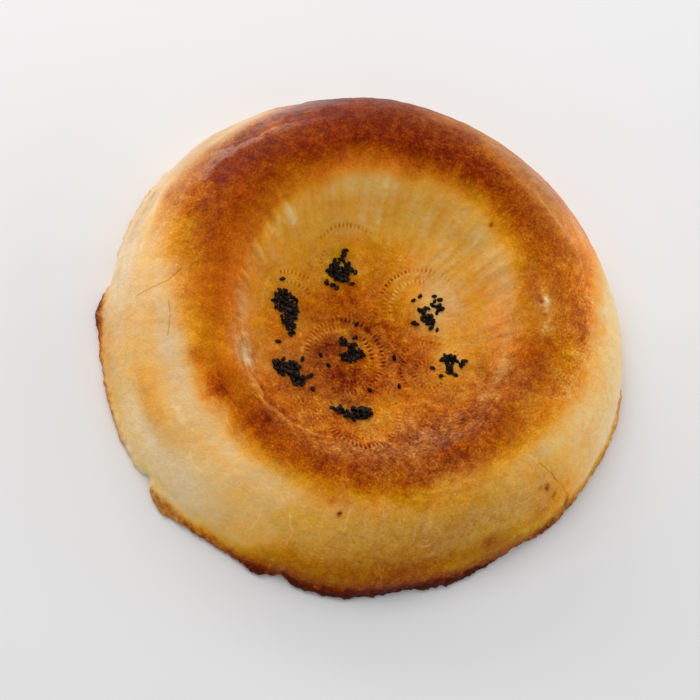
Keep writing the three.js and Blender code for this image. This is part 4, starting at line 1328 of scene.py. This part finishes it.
def crust_material():
    """Baked wheat crust, brushed with water before the oven: matt and floury where pale, with a
    satin skin where it browned, grainy in colour as the bubbles in the skin brown first"""
    material, tree = new_material("baked_wheat_crust")
    place = add_node(tree, "ShaderNodeTexCoord").outputs["Object"]
    told = {}
    for name in TONES:
        told[name] = add_node(tree, "ShaderNodeAttribute", {"attribute_name": name}).outputs["Fac"]
    noise = {}
    for name, (size, detail, roughness) in NOISES.items():
        noise[name] = add_node(tree, "ShaderNodeTexNoise", {}, {
            "Vector": place, "Scale": 1 / (size * MM), "Detail": detail, "Roughness": roughness,
        }).outputs["Fac"]

    # light flecks where small bubbles of the skin have burst
    cells = add_node(tree, "ShaderNodeTexVoronoi", {"feature": "F1"}, {
        "Vector": place, "Scale": 1 / (FLECK_MM * MM),
    })
    dots = add_node(tree, "ShaderNodeMapRange", {"interpolation_type": "SMOOTHSTEP"}, {
        "Value": cells.outputs["Distance"], "From Min": FLECK_EDGE, "From Max": FLECK_MIDDLE,
    }).outputs[0]
    kinds = add_node(tree, "ShaderNodeSeparateColor", {}, {"Color": cells.outputs["Color"]})
    light = add_node(tree, "ShaderNodeMapRange", {}, {
        "Value": kinds.outputs[0], "From Min": FLECK_RARITY, "From Max": 1.0, "To Max": FLECK_LIGHT,
    }).outputs[0]
    flecks = add_node(tree, "ShaderNodeMath", {"operation": "MULTIPLY"}, {0: dots, 1: light})

    # the swing of the browning from grain to grain, stronger on the browned band
    swing = 0.0
    for name, share in GRAIN_SHARES.items():
        centred = add_node(tree, "ShaderNodeMath", {"operation": "SUBTRACT"}, {0: noise[name], 1: 0.5})
        swing = add_node(tree, "ShaderNodeMath", {"operation": "MULTIPLY_ADD"}, {
            0: centred.outputs[0], 1: share, 2: swing,
        }).outputs[0]
    swing = add_node(tree, "ShaderNodeMath", {"operation": "SUBTRACT"}, {
        0: swing, 1: flecks.outputs[0],
    }).outputs[0]
    contrast = add_node(tree, "ShaderNodeMapRange", {}, {
        "Value": told["browning"], "From Min": PALE_LEVEL, "From Max": BROWN_LEVEL,
        "To Min": PALE_GRAIN, "To Max": BROWN_GRAIN,
    }).outputs[0]
    contrast = add_node(tree, "ShaderNodeMath", {"operation": "MULTIPLY"}, {
        0: contrast, 1: told["graininess"],
    }).outputs[0]

    # hair cracks: a thin wandering line along the zero of the stored side distance
    aside = add_node(tree, "ShaderNodeMath", {"operation": "SUBTRACT"}, {0: noise["wander"], 1: 0.5})
    reach = add_node(tree, "ShaderNodeMapRange", {}, {
        "Value": told["crack_tone"], "From Min": -CRACK_TONE, "From Max": CRACK_TONE,
        "To Min": PALE_WANDER, "To Max": DARK_WANDER,
    })
    away = add_node(tree, "ShaderNodeMath", {"operation": "MULTIPLY_ADD"}, {
        0: aside.outputs[0], 1: reach.outputs[0], 2: told["crack_side"],
    })
    away = add_node(tree, "ShaderNodeMath", {"operation": "ABSOLUTE"}, {0: away.outputs[0]})
    hair = add_node(tree, "ShaderNodeMapRange", {"interpolation_type": "SMOOTHSTEP"}, {
        "Value": away.outputs[0], "From Min": HAIR_SIDE, "From Max": HAIR_CORE,
    })
    dark_hair = add_node(tree, "ShaderNodeMath", {"operation": "MULTIPLY"}, {
        0: hair.outputs[0], 1: told["crack_tone"],
    }).outputs[0]
    pale_hair = add_node(tree, "ShaderNodeMath", {"operation": "MULTIPLY", "use_clamp": True}, {
        0: dark_hair, 1: -1.0,
    }).outputs[0]

    # the colour: three casts of the same browning, dusted with flour, which about azimuth 150 is
    # painted sheen
    level = add_node(tree, "ShaderNodeMath", {"operation": "MULTIPLY_ADD"}, {
        0: swing, 1: contrast, 2: told["browning"],
    }).outputs[0]
    level = add_node(tree, "ShaderNodeMath", {"operation": "ADD", "use_clamp": True}, {
        0: level, 1: dark_hair,
    }).outputs[0]
    warm = add_node(tree, "ShaderNodeMix", {"data_type": "RGBA"}, {
        0: told["rosy"], 6: add_ramp(tree, level, GOLDEN), 7: add_ramp(tree, level, ROSY),
    }).outputs[2]
    # the dull cast is partly painted sheen
    baked_colour = add_node(tree, "ShaderNodeMix", {"data_type": "RGBA"}, {
        0: told["bloom_and_sheen"], 6: warm, 7: add_ramp(tree, level, DULL),
    }).outputs[2]
    # flour colour: real flour and pale hair cracks, and painted sheen on the wall about azimuth 150
    dust_and_sheen = add_node(tree, "ShaderNodeMath", {"operation": "MULTIPLY_ADD", "use_clamp": True}, {
        0: told["flour_and_sheen"], 1: noise["mottle"], 2: pale_hair,
    }).outputs[0]
    colour = add_node(tree, "ShaderNodeMix", {"data_type": "RGBA"}, {
        0: dust_and_sheen, 6: baked_colour, 7: linear(FLOUR_AND_SHEEN_COLOUR),
    }).outputs[2]

    # the skin
    roughness = add_node(tree, "ShaderNodeMapRange", {}, {
        "Value": level, "From Min": MATT_LEVEL, "From Max": SATIN_LEVEL,
        "To Min": PALE_ROUGHNESS, "To Max": BROWN_ROUGHNESS,
    }).outputs[0]
    skin = add_node(tree, "ShaderNodeMath", {"operation": "MULTIPLY_ADD"}, {
        0: noise["mottle"], 1: MOTTLE_BUMP, 2: noise["grain"],
    })
    bumps = add_node(tree, "ShaderNodeBump", {}, {
        "Height": skin.outputs[0], "Distance": SKIN_BUMP_MM * MM, "Strength": SKIN_BUMP_STRENGTH,
    })
    shader = add_node(tree, "ShaderNodeBsdfPrincipled", {}, {
        "Base Color": colour,
        "Roughness": roughness,
        "Normal": bumps.outputs[0],
        "IOR": 1.22,
        "Specular Tint": linear("#ffb060"),
        "Coat Weight": told["glaze"],
        "Coat Roughness": 0.15,
        "Coat IOR": 1.5,
        "Subsurface Weight": 0.06,
        "Subsurface Scale": CRUMB_DEPTH_MM * MM,
    })
    add_node(tree, "ShaderNodeOutputMaterial", {}, {"Surface": shader.outputs[0]})
    return material


SEED_COAT = [(0.3, "#050303"), (0.6, "#0b0706"), (0.8, "#20150f")]
SEED_WEAR_MM = 0.8
SEED_BUMP_MM = 0.1


def seed_material():
    """Dry black seeds: near black with a faint dull sheen, browner where the skin is worn"""
    material, tree = new_material("dry_black_seed_coat")
    place = add_node(tree, "ShaderNodeTexCoord").outputs["Object"]
    wear = add_node(tree, "ShaderNodeTexNoise", {}, {
        "Vector": place, "Scale": 1 / (SEED_WEAR_MM * MM),
    }).outputs["Fac"]
    bumps = add_node(tree, "ShaderNodeBump", {}, {
        "Height": wear, "Distance": SEED_BUMP_MM * MM, "Strength": 0.5,
    })
    shader = add_node(tree, "ShaderNodeBsdfPrincipled", {}, {
        "Base Color": add_ramp(tree, wear, SEED_COAT),
        "Roughness": 0.34,
        "Normal": bumps.outputs[0],
        "IOR": 1.27,
    })
    add_node(tree, "ShaderNodeOutputMaterial", {}, {"Surface": shader.outputs[0]})
    return material


def table_material():
    """Matt white table card"""
    material, tree = new_material("matt_white_card")
    shader = add_node(tree, "ShaderNodeBsdfPrincipled", {}, {
        "Base Color": linear("#e9ebef"), "Roughness": 0.9,
    })
    add_node(tree, "ShaderNodeOutputMaterial", {}, {"Surface": shader.outputs[0]})
    return material


# Table, light and camera

CAMERA_AIM = (-2.0, 2.0)  # point of the table that the camera looks at, before the framing step
CAMERA_ELEVATION = 65.0
CAMERA_ROLL = 26.0
CAMERA_DISTANCE = 750.0
CAMERA_LENS = 85.0
CAMERA_SENSOR = 36.0
CAMERA_NEAR = 0.01  # nearest distance that is drawn, in metres
FRAMING_STEP = (-5.445, -4.538)  # sideways and upwards in the picture

# Soft panels: azimuth, elevation, distance, width and height in metres, watts, colour, lean
LIGHTS = {
    "window": (150, 58, 1.5, 1.1, 1.1, 9.5, "#fffaf2", 0),
    "low_window": (143, 20, 1.3, 1.7, 0.26, 7.8, "#fff6ee", -14),
    "back_strip": (62, 20, 1.3, 0.9, 0.2, 2.5, "#fdfdff", 0),
    "side_fill": (18, 24, 1.4, 0.9, 0.5, 2.3, "#fffaf5", 0),
}
ROOM_COLOUR = "#f6f6f6"
ROOM_STRENGTH = 0.5
TABLE_HALF = 3.0  # half the table's side, in metres
TABLE_GAP = 0.0002  # how far the table lies below the bread, in metres


def make_camera():
    elevation = math.radians(CAMERA_ELEVATION)
    roll = math.radians(CAMERA_ROLL)
    back = Vector((0, -math.cos(elevation), math.sin(elevation)))
    level = Vector((1, 0, 0))
    rise = back.cross(level)
    right = level * math.cos(roll) + rise * math.sin(roll)
    up = rise * math.cos(roll) - level * math.sin(roll)
    aim = Vector((*CAMERA_AIM, 0)) + right * FRAMING_STEP[0] + up * FRAMING_STEP[1]
    data = bpy.data.cameras.new("camera")
    data.lens = CAMERA_LENS
    data.sensor_width = CAMERA_SENSOR
    data.clip_start = CAMERA_NEAR
    camera = bpy.data.objects.new("camera", data)
    turn = Matrix((right, up, back)).transposed().to_4x4()
    camera.matrix_world = Matrix.Translation((aim + back * CAMERA_DISTANCE) * MM) @ turn
    bpy.context.scene.collection.objects.link(camera)
    bpy.context.scene.camera = camera


def add_light(name, azimuth, elevation, distance, width, height, watts, colour, lean):
    """A soft panel that faces the bread from an azimuth and elevation, leaning in its own plane"""
    data = bpy.data.lights.new(name, "AREA")
    data.shape = "RECTANGLE"
    data.size = width
    data.size_y = height
    data.energy = watts
    data.color = linear(colour)[:3]
    light = bpy.data.objects.new(name, data)
    azimuth = math.radians(azimuth)
    elevation = math.radians(elevation)
    flat = math.cos(elevation)
    towards = Vector((flat * math.cos(azimuth), flat * math.sin(azimuth), math.sin(elevation)))
    light.location = towards * distance
    facing = towards.to_track_quat("Z", "Y").to_matrix()
    light.rotation_euler = (facing @ Matrix.Rotation(math.radians(lean), 3, "Z")).to_euler()
    bpy.context.scene.collection.objects.link(light)


def make_stage():
    """The table, the lights and the pale room about them"""
    corners = [(-1, -1), (1, -1), (1, 1), (-1, 1)]
    points = np.array([(x * TABLE_HALF, y * TABLE_HALF, -TABLE_GAP) for x, y in corners])
    table = new_mesh_object("table", points, [(0, 1, 2, 3)], table_material())
    for name, values in LIGHTS.items():
        add_light(name, *values)
    world = bpy.data.worlds.new("room")
    world.use_nodes = True
    background = world.node_tree.nodes["Background"]
    background.inputs["Color"].default_value = linear(ROOM_COLOUR)
    background.inputs["Strength"].default_value = ROOM_STRENGTH
    scene = bpy.context.scene
    scene.world = world
    scene.view_settings.view_transform = "Standard"


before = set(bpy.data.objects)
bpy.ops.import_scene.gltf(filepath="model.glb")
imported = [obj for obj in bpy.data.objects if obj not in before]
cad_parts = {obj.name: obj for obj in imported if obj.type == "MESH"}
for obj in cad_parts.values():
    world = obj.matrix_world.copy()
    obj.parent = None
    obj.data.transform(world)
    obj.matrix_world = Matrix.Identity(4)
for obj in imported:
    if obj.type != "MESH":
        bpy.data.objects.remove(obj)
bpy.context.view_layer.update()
crust = make_crust(crust_material())
seeds = make_seeds(crust, seed_material())
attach(crust, "root")
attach(seeds, "root")
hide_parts("flatbread")
make_stage()
make_camera()
